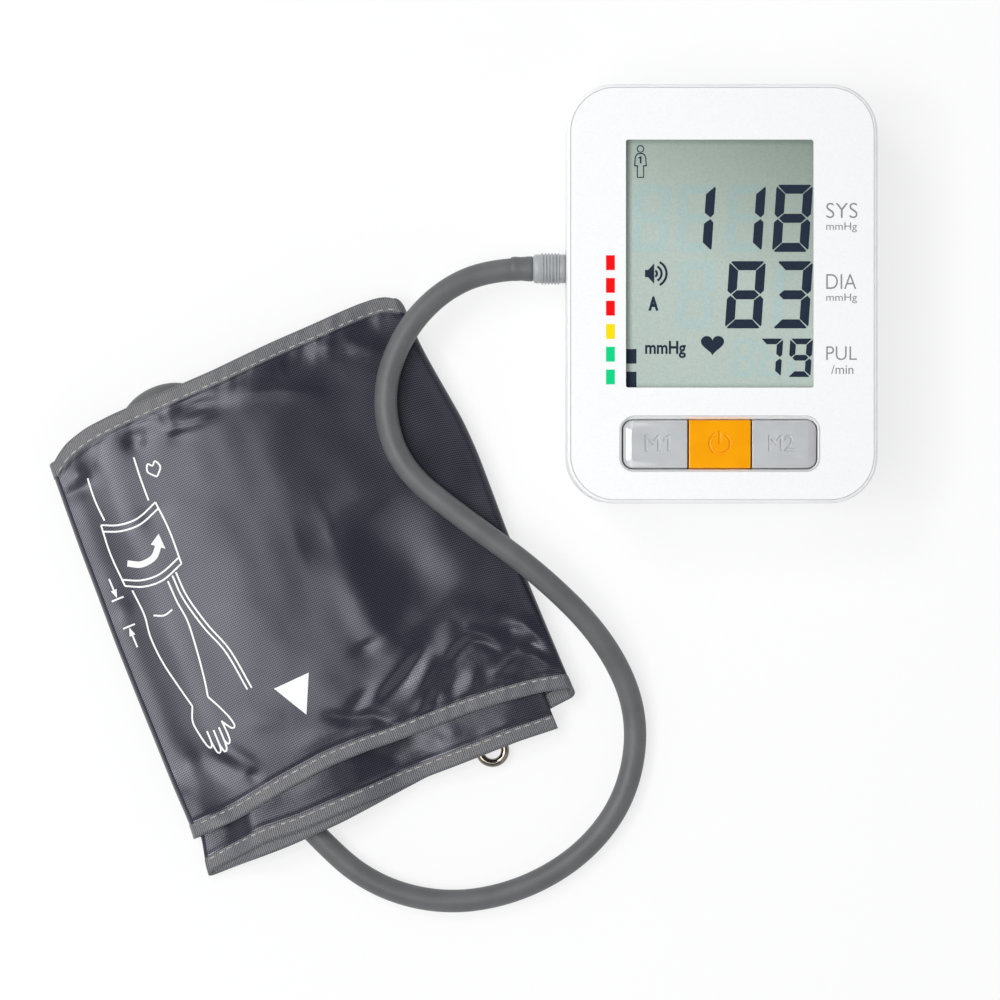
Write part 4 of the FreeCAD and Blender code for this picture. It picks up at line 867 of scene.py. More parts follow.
key_grey = key_plastic("moulded_grey_abs_keys", ("BDBFC1", "C6C8CA"), (0.13, 0.17))
key_orange = key_plastic("moulded_orange_abs_key", ("FAA200", "FFAB00"), (0.13, 0.17))
KEYS = [
    # node, body, slot, from, to, outer side, material
    ("button_m1", "m1_key", "grey_key", 57.25, 79.25, -1, key_grey),
    ("button_power", "power_key", "orange_key", 79.75, 100.95, 0, key_orange),
    ("button_m2", "m2_key", "grey_key", 101.4, 123.55, 1, key_grey),
]
key_signs = {
    "button_m1": joined([letter_sign("M", 64.6, 70.15),
                         flat_shape([KEY_ONE], KEY_TOP, CUTTER_TALL, SIGN_DEEP)]),
    "button_power": power_sign(),
    "button_m2": letter_sign("M2", 106.9, 116.1),
}
for node, body, slot, x_from, x_to, outer_side, finish in KEYS:
    flange_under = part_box(node)[0][2] / MM + STEM_LENGTH
    key = make_cap(x_from, x_to, outer_side, flange_under, key_signs[node])
    dress(key, finish)
    smooth(key, SMOOTH_ANGLE)
    fit(key, node + "_cap", body, slot, node)

# The slot's raised edge: left, right, front, back and corner radius outside; its width; its height.
RING = (56.3, 124.7, 3.25, 22.6, 4.9)
RING_WIDE = 0.3
RING_TALL = 0.12
RING_EDGE = 0.03
RING_SINK = 0.05

x_from, x_to, y_from, y_to, radius = RING
inner_ring = rounded_outline(x_from + RING_WIDE, x_to - RING_WIDE, y_from + RING_WIDE, y_to - RING_WIDE,
                             radius - RING_WIDE)
key_ring = flat_shape([rounded_outline(*RING), inner_ring], PANEL_TOP - RING_SINK, RING_TALL, RING_EDGE)
# The raised edge is the panel's white ABS, coloured light grey as painted shade along the slot.
dress(key_ring, key_plastic("white_abs_edge_painted_shade", ("C6C8CA", "D0D2D4"), (0.4, 0.5)))
fit(key_ring, "key_ring", "console", "white_panel")


# ---- keypad and circuit board ----
# Under the caps lies a silicone mat with a dome for each. The board is glass-fibre laminate with
# green solder mask; it carries moulded chips, the speaker and the screws that hold it.

def solder_mask():
    """FR4 board: green varnish over copper tracks 1.3 mm apart, so straight lines show through it."""
    material = new_material("solder_masked_fr4")
    place = add_node(material, "TexCoord").outputs["Object"]
    tracks = add_node(material, "TexBrick", {
        "Vector": place, "Scale": 380.0, "Mortar Size": 0.03,
        "Color1": linear("1E5B38"), "Color2": linear("23663F"), "Mortar": linear("3C8A57")})
    return finish_material(material, add_node(material, "BsdfPrincipled", {
        "Base Color": tracks.outputs["Color"], "Roughness": 0.3, "IOR": 1.5, "Coat Weight": 0.4}))


dress_node("keypad_mat", dull_moulding("moulded_silicone_mat", ("B9BBBC", "C8CACB"), (0.45, 0.6)))
dress_node("main_board", solder_mask())
dress_node("board_chips", dull_moulding("moulded_epoxy_chips", ("1A1B1D", "242528"), (0.45, 0.6)))
dress_node("speaker", bright_steel("nickel_plated_speaker_can", ("A7A59F", "C6C4BE"), (0.25, 0.35)))


# ---- pump, valve, sensor and air tubes ----
# The pump is a small motor in a steel can with a nylon head, clipped in a cradle. Silicone tubes
# join it, the valve and the sensor to the manifold behind the socket.

def silicone_tube():
    """Extruded silicone: milky and translucent, clouded over 7 mm, with a greasy gloss."""
    material = new_material("extruded_silicone_tube")
    place = add_node(material, "TexCoord").outputs["Object"]
    cloud = add_node(material, "TexNoise", {"Vector": place, "Scale": 150.0})
    return finish_surface(material, cloud.outputs["Fac"], ("C9CCCB", "DDDFDE"), 0.35,
                          {"IOR": 1.41, "Subsurface Weight": 0.3, "Subsurface Scale": 0.001})


drawn_steel = bright_steel("drawn_steel_can", ("8F8F8C", "AEAEAA"), (0.3, 0.45))
inner_nylon = satin_moulding("moulded_natural_nylon", ("CFCABD", "DAD6CA"), (0.4, 0.5))
tube_silicone = silicone_tube()
dress_node("pump_motor", drawn_steel)
dress_node("pump_head", black_nylon)
dress_node("pump_cradle", inner_nylon)
dress_node("exhaust_valve", drawn_steel)
dress_node("valve_pad", dull_moulding("cut_foam_pad", ("2C2C2E", "3A3A3D"), (0.7, 0.85)))
dress_node("air_manifold", inner_nylon)
dress_node("pressure_sensor", black_nylon)
for tube_node in ("tube_socket", "tube_valve", "tube_pump", "tube_sensor"):
    dress_node(tube_node, tube_silicone)


# ---- batteries, contacts and leads ----
# Four AA cells in the bay, pressed between a nickel-plated plate and springs; stranded leads in PVC
# run from there, and from the board, to the pump.

CELLS_X = (66.0, 117.0)


def cell_jacket():
    """Printed shrink film on an alkaline cell: black, with a copper band at one end of the bay."""
    material = new_material("shrink_film_cell")
    place = add_node(material, "TexCoord").outputs["Object"]
    axes = add_node(material, "SeparateXYZ", {"Vector": place})
    along = add_node(material, "MapRange", {"Value": axes.outputs["X"], "From Min": CELLS_X[0] * MM,
                                            "From Max": CELLS_X[1] * MM})
    return finish_surface(material, along.outputs["Result"], ("B87B42", "1C1C1F"), 0.28, {"IOR": 1.5},
                          ends=(0.0, 0.25), blend="CONSTANT")


def lead_pvc():
    """Thin extruded PVC, glossy: a red and a black lead in each pair, drawn as 17 mm patches of both."""
    material = new_material("extruded_pvc_leads")
    place = add_node(material, "TexCoord").outputs["Object"]
    pairs = add_node(material, "TexNoise", {"Vector": place, "Scale": 60.0})
    return finish_surface(material, pairs.outputs["Fac"], ("A51E1E", "1B1B1D"), 0.35, {"IOR": 1.5},
                          ends=(0.0, 0.5), blend="CONSTANT")


nickel_steel = bright_steel("nickel_plated_steel", ("B5B1A6", "D0CCC2"), (0.2, 0.3))
lead_jacket = lead_pvc()
dress_node("battery_cells", cell_jacket())
dress_node("contact_plates", nickel_steel)
dress_node("battery_springs", nickel_steel)
dress_node("pump_leads", lead_jacket)
dress_node("battery_leads", lead_jacket)


# ---- cuff cloth ----
# One strip of cloth, 145 mm wide and about half a metre long, rolled up flat in four turns: woven
# nylon outside and knitted lining on the skin side, sewn together round an empty air bag. From its
# free end it runs left (turn 2), right (3), left on top (1), and right on the table (4).

CUFF_X = -53.3
CUFF_Y = -31.9
CUFF_TURN = math.radians(22.6)
STRIP_WIDTH = 145.0
TABLE_END = 27.8
DRAPE = np.array([
    # x, height under turns 2 and 3 at the front hem and the back hem, and under turn 1, which bridges them
    (-66.0, 2.0, 2.0, 5.0, 5.0),
    (-58.0, 4.0, 4.0, 7.6, 7.6),
    (-49.5, 9.8, 9.8, 9.8, 9.8),
    (-38.0, 9.8, 9.8, 10.1, 10.2),
    (-27.0, 9.8, 9.8, 10.1, 10.6),
    (-18.0, 9.6, 10.6, 10.1, 10.9),
    (-8.0, 8.4, 10.6, 10.0, 11.0),
    (3.0, 4.6, 10.6, 9.5, 10.6),
    (14.0, 3.8, 5.6, 8.7, 9.7),
    (24.0, 6.2, 6.2, 7.8, 8.6),
    (36.0, 6.2, 6.2, 6.9, 7.2),
    (48.0, 6.2, 6.2, 6.3, 6.3),
    (60.0, 5.0, 5.0, 5.0, 5.0),
    (69.0, 5.0, 5.0, 4.2, 4.2),
])
DRAPE_FRONT = -86.5
DRAPE_DEPTH = 159.0
# Each turn's front hem, and the back hem where it isn't just a strip's width behind the front one.
FRONT_HEMS = {
    1: [(-72, -71.4), (-62, -71.2), (-52, -70.6), (-35, -67.9), (-17, -65.9), (-3, -66.0), (8, -66.8),
        (30, -67.4), (44, -68.4), (58, -70.3), (64, -71.6), (71, -73.6)],
    2: [(-70, -85.2), (-60, -83.6), (-47, -82.0), (-32, -83.0), (-18, -82.8), (2, -82.7), (32, -83.3),
        (47, -83.6), (61, -84.8)],
    3: [(-70, -86.2), (-53, -86.2), (-38, -86.6), (-19, -86.0), (-1, -84.4), (30, -81.5), (50, -79.0),
        (62, -77.4), (71, -76.6)],
    4: [(-72, -72.0), (30, -72.0)],
}
BACK_HEMS = {
    4: [(-76, 59.0), (-72, 64.5), (-68, 69.0), (-62, 72.4), (-50, 73.0), (30, 73.0)],
    1: [(-76, 60.5), (-72, 66.0), (-68, 70.3), (-62, 74.2), (-53, 76.4), (-42, 77.2), (-2, 77.9), (10, 78.6),
        (22, 79.2), (36, 79.5), (48, 79.9), (56, 80.0), (63, 79.6), (68, 78.2), (71, 74.5)],
}
# Left and right folds stand out more or less along the cuff: y, shift in x.
LEFT_LEAN = [(-87, -5.4), (-80, -4.6), (-74, -2.8), (-68, -2.1), (-49, -2.3), (-18, -2.0), (4, -1.7),
             (19, -1.1), (38, -0.5), (52, 0.2), (66, 0.9), (76, 1.6)]
RIGHT_LEAN = [(-74, 0.2), (-48, 0.1), (-14, 0.1), (4, 0.8), (16, 1.2), (28, 0.8), (38, -0.4), (48, -1.7),
              (58, -2.8), (76, -3.2)]
LEFT_EDGE = -70.4
RIGHT_EDGE = 70.9
# Turn 4 leans with its fold only at its left end: x where the lean begins and where it is whole.
LEAN_FROM = -40.0
LEAN_WHOLE = -68.0
# Lower and upper face of each turn, in its middle and at its hems: turns 1 to 3 above what lies under
# them all, turn 4 above the table.
LEVELS = {
    1: (3.9, 6.0, 4.35, 5.55),
    2: (2.4, 3.6, 2.5, 3.5),
    3: (0.0, 2.1, 0.45, 1.65),
    4: (0.02, 1.2, 0.24, 1.12),
}
# The free end, and the folds between turns 2 and 3, 3 and 1, and 1 and 4: x, and how far each stands out.
FREE_END = 61.0
LOW_LEFT_FOLD = (-66.0, -2.1)
RIGHT_FOLD = (68.5, 2.4)
TOP_LEFT_FOLD = (-68.0, -2.4)
FOLD_THICK = 1.25
FOLD_STEPS = 14
# Distance between stations on turn 1, on turn 2 and on the hidden turns.
TOP_STEP = 1.2
SECOND_STEP = 1.6
HIDDEN_STEP = 3.0
# Stations next to the free end and the table end, whose edges are round: distance from the end.
END_STATIONS = np.array([0.0, 0.06, 0.2, 0.4, 0.75])
TOP_LEVEL = LEVELS[1][1]
# The strip is thinner at its hems: how far in it has its full thickness, and how far its edge is round.
CROWN_REACH = 16.0
HEM_RADIUS = 0.6
FINE_STEP = 0.25
FINE_X = np.arange(-90.0, 90.0 + FINE_STEP, FINE_STEP)


def eased(points, reach=9.0):
    """A smooth run through points of place and value: straight lines, rounded over reach mm."""
    places, values = np.array(points, dtype=float).T
    table = np.interp(FINE_X, places, values)
    half = int(reach / FINE_STEP / 2)
    weights = np.hanning(2 * half + 3)[1:-1]
    padded = np.pad(table, half, mode="edge")
    rounded = np.convolve(padded, weights / weights.sum(), "valid")
    return lambda place: np.interp(place, FINE_X, rounded)


drape_low = [eased(DRAPE[:, (0, column)]) for column in (1, 2)]
drape_high = [eased(DRAPE[:, (0, column)], 12.0) for column in (3, 4)]
front_hem = {turn: eased(points) for turn, points in FRONT_HEMS.items()}
back_hem = {turn: eased(points) for turn, points in BACK_HEMS.items()}
left_lean = eased(LEFT_LEAN, 14.0)
right_lean = eased(RIGHT_LEAN, 14.0)


def drape(x, y, turn):
    """Height of what lies under turns 1 to 3, as turn 1 or the lower two follow it."""
    front, back = drape_high if turn == 1 else drape_low
    share = (y - DRAPE_FRONT) / DRAPE_DEPTH
    return front(x) + share * (back(x) - front(x))


# Folds that the cloth keeps: the line each follows about the cuff's middle, half-width and height.
FOLDS = [
    ([(28.3, -42.1), (19.2, -47.4), (8.5, -52.1)], 2.0, -1.1),
    ([(29.8, -45.7), (23.8, -50.9), (17.7, -54.8)], 2.6, 0.9),
    ([(24.9, -39.1), (16.1, -43.8), (5.2, -48.1)], 3.0, 0.6),
    ([(5.9, -46.5), (0.1, -49.4), (-3.6, -50.9)], 1.8, -0.7),
    ([(-10.3, -49.6), (-4.5, -53.2), (3.0, -55.2), (8.4, -59.7)], 2.0, -1.0),
    ([(-25.6, -56.2), (-16.7, -55.0), (-7.4, -54.6)], 3.0, 0.4),
    ([(35.7, -49.0), (39.9, -46.1), (45.2, -44.5), (49.0, -47.2), (52.1, -51.6)], 1.3, -0.7),
    ([(35.1, -44.9), (40.0, -42.4), (45.4, -41.2), (50.5, -44.5), (54.6, -49.2)], 1.8, 0.7),
    ([(47.5, -58.1), (53.1, -56.6), (59.3, -54.6)], 1.6, 0.9),
    ([(59.3, -54.6), (63.3, -57.8), (68.2, -65.9)], 1.8, 0.9),
    ([(49.7, -55.6), (55.3, -54.1), (60.5, -52.4), (65.2, -55.9)], 1.5, -0.7),
    ([(59.1, -43.1), (64.0, -45.9), (66.8, -52.0), (68.5, -58.8)], 1.9, 0.8),
    ([(56.6, -45.4), (60.4, -47.4)], 2.6, -0.5),
    ([(63.0, -52.0), (64.8, -55.0)], 1.8, -0.6),
    ([(45.1, -38.4), (52.3, -38.3), (59.2, -38.2)], 1.6, 0.6),
    ([(42.7, -36.6), (37.0, -41.1), (32.4, -44.9)], 3.2, 0.7),
    ([(42.4, -54.0), (37.4, -60.3)], 2.2, 0.8),
    ([(35.4, -54.2), (30.1, -58.8)], 2.0, -0.7),
    ([(27.7, -56.3), (23.3, -60.5)], 1.8, -0.6),
    ([(25.1, -55.2), (18.2, -60.7)], 1.8, 0.6),
    ([(53.0, -61.5), (59.1, -63.3)], 1.8, -0.6),
    ([(24.7, 9.7), (32.3, -8.7), (39.9, -27.1)], 10.0, -1.3),
    ([(14.1, -1.9), (15.1, -20.6), (16.9, -36.5)], 6.0, 0.9),
    ([(10.4, -30.1), (11.0, -34.1)], 4.5, -0.8),
    ([(22.9, -33.0), (32.8, -30.2), (43.1, -31.1), (52.9, -35.9)], 4.5, 1.0),
    ([(16.2, 16.7), (31.7, 17.5), (44.4, 18.7)], 6.0, 0.9),
    ([(1.8, 9.7), (12.9, 8.9)], 7.0, -0.5),
    ([(-41.5, 43.0), (-42.2, 35.7)], 6.0, -0.8),
    ([(-22.9, 37.2), (-22.9, 14.3), (-23.4, -16.0)], 12.0, 0.6),
    ([(-37.1, 69.6), (-37.3, 62.8)], 4.4, -1.4),
    ([(-29.9, 69.0), (-24.8, 69.2)], 2.6, 0.5),
    ([(-26.4, 64.5), (-21.1, 64.6)], 2.2, 0.5),
    ([(-19.0, 70.0), (-9.1, 68.0), (-0.5, 66.0)], 2.4, -1.2),
    ([(-24.8, 64.6), (-15.8, 63.5), (-9.0, 63.4)], 2.2, 0.8),
    ([(-25.8, 62.4), (-18.7, 61.0)], 2.6, -0.5),
    ([(21.6, 70.1), (28.1, 70.0), (33.8, 70.0)], 4.0, -0.9),
    ([(6.3, 66.2), (17.1, 62.8), (29.3, 57.3)], 2.2, 0.7),
    ([(35.1, 73.2), (41.1, 69.2), (45.7, 67.6)], 3.0, 0.8),
    ([(37.7, 68.3), (46.4, 65.5)], 2.0, -0.5),
    ([(43.9, 74.1), (50.6, 67.5), (56.5, 63.2)], 3.0, 0.7),
    ([(51.5, 74.0), (60.4, 72.6)], 4.0, -0.8),
    ([(-8.7, 68.6), (2.8, 66.9), (10.7, 65.8)], 2.0, 0.35),
    ([(-54.4, -45.7), (-49.9, -52.2), (-46.9, -58.0)], 3.2, -0.9),
    ([(-48.6, -45.5), (-43.1, -52.4), (-40.7, -57.6)], 2.6, 0.6),
    ([(-42.6, -56.7), (-42.0, -60.8)], 2.2, -0.7),
    ([(-67.5, -47.1), (-65.4, -55.6)], 3.0, 0.6),
    ([(-60.9, -42.3), (-60.4, -48.2)], 3.0, -0.5),
    ([(-38.1, -40.4), (-24.5, -44.5)], 4.0, 0.4),
    ([(-68.1, 56.0), (-64.1, 57.3), (-58.4, 57.3)], 2.6, 0.7),
    ([(-64.1, 61.9), (-57.8, 63.1)], 3.0, -0.8),
    ([(-66.3, 12.6), (-59.7, 12.9)], 2.6, -0.3),
    ([(-62.8, -65.9), (-57.2, -69.7), (-54.5, -76.2)], 2.6, -0.9),
    ([(-45.0, -67.9), (-36.8, -69.4)], 3.0, 0.7),
    ([(-31.3, -69.8), (-19.9, -70.0)], 3.5, 0.7),
    ([(-1.5, -67.8), (3.0, -71.6), (6.9, -73.2)], 2.4, -1.2),
    ([(10.2, -72.6), (14.9, -72.3), (18.0, -75.9)], 2.4, 0.9),
    ([(20.3, -70.4), (20.9, -74.4)], 2.0, -0.8),
    ([(25.3, -69.4), (27.0, -74.3)], 2.4, 0.8),
    ([(-0.4, -74.3), (4.8, -79.2), (10.5, -83.0)], 1.8, -0.8),
    ([(33.9, -73.4), (34.8, -77.6)], 2.2, -0.5),
    ([(43.4, -73.5), (45.9, -78.4)], 2.6, 0.5),
]
# These scale the half-width and the height of every fold.
FOLD_SPREAD = 1.05
FOLD_SHARE = 0.95
# All relief stays within limits, and fades towards the faces that lie low in the roll.
RELIEF_LIMITS = (-1.6, 1.9)
RELIEF_FADE = 1.3
# The groove just inside each hem's tape: distance from the hem, half-width and depth.
SEAM_PLACE = 5.75
SEAM_HALF = 0.5
SEAM_DIP = 0.22
PUCKER_REACH = 9.0
PUCKER_HEIGHT = 0.36
PUCKER_SLANT = 0.55
# How much of their height the front hem's puckers have along the cuff: x, share.
FRONT_PUCKERS = [(-70, 0.6), (-52, 0.45), (-40, 0.1), (-12, 0.1), (0, 0.6), (12, 1.0), (70, 1.0)]
LOW_PUCKERS = 0.4
ROLL_HEIGHT = 0.35
# The puckers and the slow roll are sums of noise: size in mm, share, seed. Each hem has its own run.
PUCKER_NOISE = [(4.6, 1.0, 11.0), (2.4, 0.6, 17.0)]
ROLL_NOISE = [(26.0, 1.0, 3.0), (11.0, 0.4, 5.0)]
HEM_RUN = 3.0
# A fold's relief at its two ends, as a share of its middle's, and how fast it comes up between them.
FOLD_LEAST = 0.35
FOLD_RISE = 0.7
# The hose lies on the cuff where its middle is at least this high, and the cloth keeps clear; in metres.
HOSE_LIFTED = 0.0125
HOSE_CLEAR = 0.0002
# Points compared with the hose at a time.
BATCH = 4096

front_puckers = eased(FRONT_PUCKERS)


def fold_relief(x, y):
    """Height of the kept folds: soft ridges and hollows along their lines, fading towards both ends."""
    relief = np.zeros(np.broadcast(x, y).shape)
    for line, half_width, height in FOLDS:
        places = np.array(line)
        lengths = np.hypot(*np.diff(places, axis=0).T)
        nearest = np.full(relief.shape, 1e9)
        along = np.zeros(relief.shape)
        starts = np.cumsum(lengths) - lengths
        for (x1, y1), (x2, y2), length, before in zip(line, line[1:], lengths, starts):
            run_x, run_y = x2 - x1, y2 - y1
            share = np.clip(((x - x1) * run_x + (y - y1) * run_y) / length ** 2, 0, 1)
            distance = np.hypot(x - x1 - share * run_x, y - y1 - share * run_y)
            along = np.where(distance < nearest, (before + share * length) / lengths.sum(), along)
            nearest = np.minimum(nearest, distance)
        taper = FOLD_LEAST + (1 - FOLD_LEAST) * np.sin(math.pi * along) ** FOLD_RISE
        relief += FOLD_SHARE * height * taper * np.exp(-(nearest / half_width / FOLD_SPREAD) ** 2)
    return relief


def noise_over(x, y, scale, seed):
    """Smooth noise over the cuff, with features about scale mm across."""
    shape = np.broadcast(x, y).shape
    places = np.stack([np.broadcast_to(x, shape) / scale, np.broadcast_to(y, shape) / scale], -1)
    flat = [noise.noise(Vector((a, b, seed))) for a, b in places.reshape(-1, 2)]
    return np.array(flat).reshape(shape)


def relief_over(x, y, turn):
    """Everything that lifts or lowers a turn's cloth: kept folds, hem puckers and a slow roll."""
    x, y = np.broadcast_arrays(x, y)
    hem_distance = np.abs(y - front_hem[turn](x))
    if turn == 1:
        hem_distance = np.minimum(hem_distance, np.abs(back_hem[1](x) - y))
    slant = x + PUCKER_SLANT * hem_distance * np.sign(y)
    run = HEM_RUN * np.sign(y)
    puckers = sum(share * noise_over(slant, run, size, seed + turn) for size, share, seed in PUCKER_NOISE)
    near_hem = np.exp(-(hem_distance / PUCKER_REACH) ** 2)
    shown = np.where(y < 0, front_puckers(x), 1.0) * (1.0 if turn == 1 else LOW_PUCKERS)
    roll = sum(share * noise_over(x, y, size, seed) for size, share, seed in ROLL_NOISE)
    return fold_relief(x, y) + PUCKER_HEIGHT * puckers * near_hem * shown + ROLL_HEIGHT * roll


def eased_step(value):
    """A step from 0 to 1 that starts and ends softly."""
    value = np.clip(value, 0, 1)
    return value * value * (3 - 2 * value)


def quarter_round(depth):
    """How full the cloth is at a depth inside its edge: it rounds off within the hem's radius."""
    return np.sqrt(np.clip(1 - (1 - np.clip(depth / HEM_RADIUS, 0, 1)) ** 2, 0, 1))


def turn_faces(turn, x, offset, grow=0.0, rounded_end=None):
    """Outer and skin face of a turn, in mm: arrays of points at each x and offset from the front hem."""
    x, offset = np.broadcast_arrays(np.asarray(x, float)[:, None], np.asarray(offset, float)[None, :])
    front = front_hem[turn](x)
    back = back_hem[turn](x) if turn in back_hem else front + STRIP_WIDTH
    depth = np.minimum(offset, STRIP_WIDTH - offset)
    y = front + offset * (back - front) / STRIP_WIDTH
    y = y + grow * np.where(offset < STRIP_WIDTH / 2, -1, 1) * np.clip(1 - depth / HEM_RADIUS, 0, 1)
    low, high, hem_low, hem_high = LEVELS[turn]
    crown = eased_step(depth / CROWN_REACH)
    low = hem_low + crown * (low - hem_low)
    high = hem_high + crown * (high - hem_high)
    if turn in (1, 2):
        high = high - SEAM_DIP * np.exp(-((depth - SEAM_PLACE) / SEAM_HALF) ** 2)
    fullness = quarter_round(depth)
    if rounded_end is not None:
        fullness = fullness * quarter_round(np.abs(x - rounded_end))
    middle = (low + high) / 2
    half = ((high - low) / 2 + grow) * fullness
    faces = [middle - half, middle + half]
    if turn != 4:
        ground = drape(x, y, turn)
        relief = np.clip(relief_over(x, y, turn), *RELIEF_LIMITS)
        faces = [ground + face + relief * np.clip(face / TOP_LEVEL, 0, 1) ** RELIEF_FADE for face in faces]
    faces = [np.stack([x, y, face], -1) for face in faces]
    outer_is_high = turn in (1, 2)
    return (faces[1], faces[0]) if outer_is_high else (faces[0], faces[1])


def fold_faces(from_turn, to_turn, fold, offset, grow):
    """Outer and skin face round a fold between two turns."""
    x, bulge = fold
    start = turn_faces(from_turn, [x], offset, grow)
    end = turn_faces(to_turn, [x], offset, grow)
    side = math.copysign(1.0, bulge)
    reaches = (bulge + side * grow, bulge - side * (FOLD_THICK + grow))
    rings = ([], [])
    for step in range(1, FOLD_STEPS):
        turn = math.pi * step / FOLD_STEPS
        share = (1 - math.cos(turn)) / 2
        for ring, first, last, reach in zip(rings, start, end, reaches):
            points = first + share * (last - first)
            points[..., 0] += reach * math.sin(turn)
            ring.append(points[0])
    return np.array(rings[0]), np.array(rings[1])


def stations(start, end, step, fine_end=None):
    """Places along a turn, closer together where it starts or ends in a rounded edge."""
    places = np.linspace(start, end, int(abs(end - start) / step) + 1)
    inward = math.copysign(1.0, end - start) * END_STATIONS
    if fine_end == start:
        return np.concatenate([start + inward, places[1:]])
    if fine_end == end:
        return np.concatenate([places[:-1], (end - inward)[::-1]])
    return places


def strip_faces(offset, grow=0.0):
    """The whole strip from its free end on: outer face, skin face, and the turn at each station."""
    low_left, right, top_left = LOW_LEFT_FOLD[0], RIGHT_FOLD[0], TOP_LEFT_FOLD[0]
    runs = [
        # turn, its places, its rounded end, the next turn and the fold to it
        (2, stations(FREE_END, low_left, SECOND_STEP, FREE_END), FREE_END, 3, LOW_LEFT_FOLD),
        (3, stations(low_left, right, HIDDEN_STEP), None, 1, RIGHT_FOLD),
        (1, stations(right, top_left, TOP_STEP), None, 4, TOP_LEFT_FOLD),
        (4, stations(top_left, TABLE_END, HIDDEN_STEP, TABLE_END), TABLE_END, None, None),
    ]
    outer, skin, turns = [], [], []
    for turn, places, rounded_end, next_turn, fold in runs:
        parts = [turn_faces(turn, places, offset, grow, rounded_end)]
        if fold:
            parts.append(fold_faces(turn, next_turn, fold, offset, grow))
        for outer_part, skin_part in parts:
            outer.append(outer_part)
            skin.append(skin_part)
            turns += [turn] * len(outer_part)
    return np.concatenate(outer), np.concatenate(skin), np.array(turns)


def under_hose(points):
    """Keeps cloth a hair below the hose where the hose lies across it; points in the frame, in metres."""
    over = hose_line[hose_line[:, 2] > HOSE_LIFTED]
    flat = points.reshape(-1, 3)
    for first in range(0, len(flat), BATCH):
        part = flat[first:first + BATCH]
        distance = np.hypot(part[:, None, 0] - over[None, :, 0], part[:, None, 1] - over[None, :, 1])
        nearest = distance.argmin(1)
        reach = distance[np.arange(len(part)), nearest]
        beneath = reach < HOSE_RADIUS
        drop = np.sqrt(np.clip(HOSE_RADIUS ** 2 - reach ** 2, 0, None))
        ceiling = over[nearest, 2] - drop - HOSE_CLEAR
        part[:, 2] = np.where(beneath, np.minimum(part[:, 2], ceiling), part[:, 2])
    return flat.reshape(points.shape)


def turn_cuff(x, y, z):
    """Turns points about the cuff's middle, in mm, into the frame, in metres."""
    turned_x = x * math.cos(CUFF_TURN) - y * math.sin(CUFF_TURN) + CUFF_X
    turned_y = x * math.sin(CUFF_TURN) + y * math.cos(CUFF_TURN) + CUFF_Y
    return np.stack([turned_x, turned_y, z], -1) * MM


def lay_out(points, turns):
    """Leans the folds, all but turn 4's run along the table, and turns the cuff into place."""
    x, y, z = points[..., 0], points[..., 1], points[..., 2]
    share = np.clip((x - LEFT_EDGE) / (RIGHT_EDGE - LEFT_EDGE), 0, 1)
    table_lean = eased_step((LEAN_FROM - x) / (LEAN_FROM - LEAN_WHOLE))
    fade = np.where(turns[:, None] == 4, table_lean, 1.0)
    x = x + fade * ((1 - share) * left_lean(y) + share * right_lean(y))
    return under_hose(turn_cuff(x, y, z))


def grid_faces(rows, columns, first=0, closed=False):
    """Quads between neighbouring rows and columns of a grid of vertices; closed joins its last column
    to its first one."""
    last = columns if closed else columns - 1
    row, column = np.meshgrid(np.arange(rows - 1), np.arange(last), indexing="ij")
    beside = (column + 1) % columns
    corners = [row * columns + column, row * columns + beside, (row + 1) * columns + beside,
               (row + 1) * columns + column]
    return np.stack(corners, -1).reshape(-1, 4) + first


def cloth_piece(name, points, faces, uvs, material_index=None):
    """A smooth piece of points, quads and a place on the cloth for each point."""
    piece = new_piece(name, points.reshape(-1, 3).tolist(), faces.tolist())
    mesh = piece.data
    layer = mesh.uv_layers.new(name="cloth")
    corner_vertex = np.empty(len(mesh.loops), dtype=int)
    mesh.loops.foreach_get("vertex_index", corner_vertex)
    layer.data.foreach_set("uv", uvs.reshape(-1, 2)[corner_vertex].ravel())
    if material_index is not None:
        mesh.polygons.foreach_set("material_index", material_index)
    clean_faces(piece)
    bpy.ops.object.shade_smooth()
    return piece


def lengths_along(points):
    """Distance from the first point of a line to each of its points."""
    return np.concatenate([[0.0], np.cumsum(np.linalg.norm(np.diff(points, axis=0), axis=1))])


def cloth_uvs(outer, offset):
    """Distance along the strip and across it, in metres, for every point of one face."""
    along = lengths_along(outer[:, outer.shape[1] // 2])
    across = np.asarray(offset) * MM
    return np.stack(np.broadcast_arrays(along[:, None], across[None, :]), -1)


HEM_OFFSETS = [0.0, 0.08, 0.25, 0.6, 1.1, 1.9, 3.0, 4.2, 5.1, 5.5, 5.9, 6.5]
CLOTH_STEP = 1.25


def whole_offsets():
    inner = np.linspace(HEM_OFFSETS[-1], STRIP_WIDTH - HEM_OFFSETS[-1],
                        int((STRIP_WIDTH - 2 * HEM_OFFSETS[-1]) / CLOTH_STEP) + 1)
    near = np.array(HEM_OFFSETS[:-1])
    return np.concatenate([near, inner, (STRIP_WIDTH - near)[::-1]])


def cloth_wave(material, axis, repeat):
    """A wave along the strip, by X, or across it, by Y, that repeats every so many mm."""
    place = add_node(material, "UVMap", uv_map="cloth").outputs["UV"]
    axes = add_node(material, "SeparateXYZ", {"Vector": place})
    angle = add_node(material, "Math", {0: axes.outputs[axis], 1: 2 * math.pi / (repeat * MM)},
                     operation="MULTIPLY")
    return add_node(material, "Math", {0: angle.outputs[0]}, operation="SINE").outputs[0]


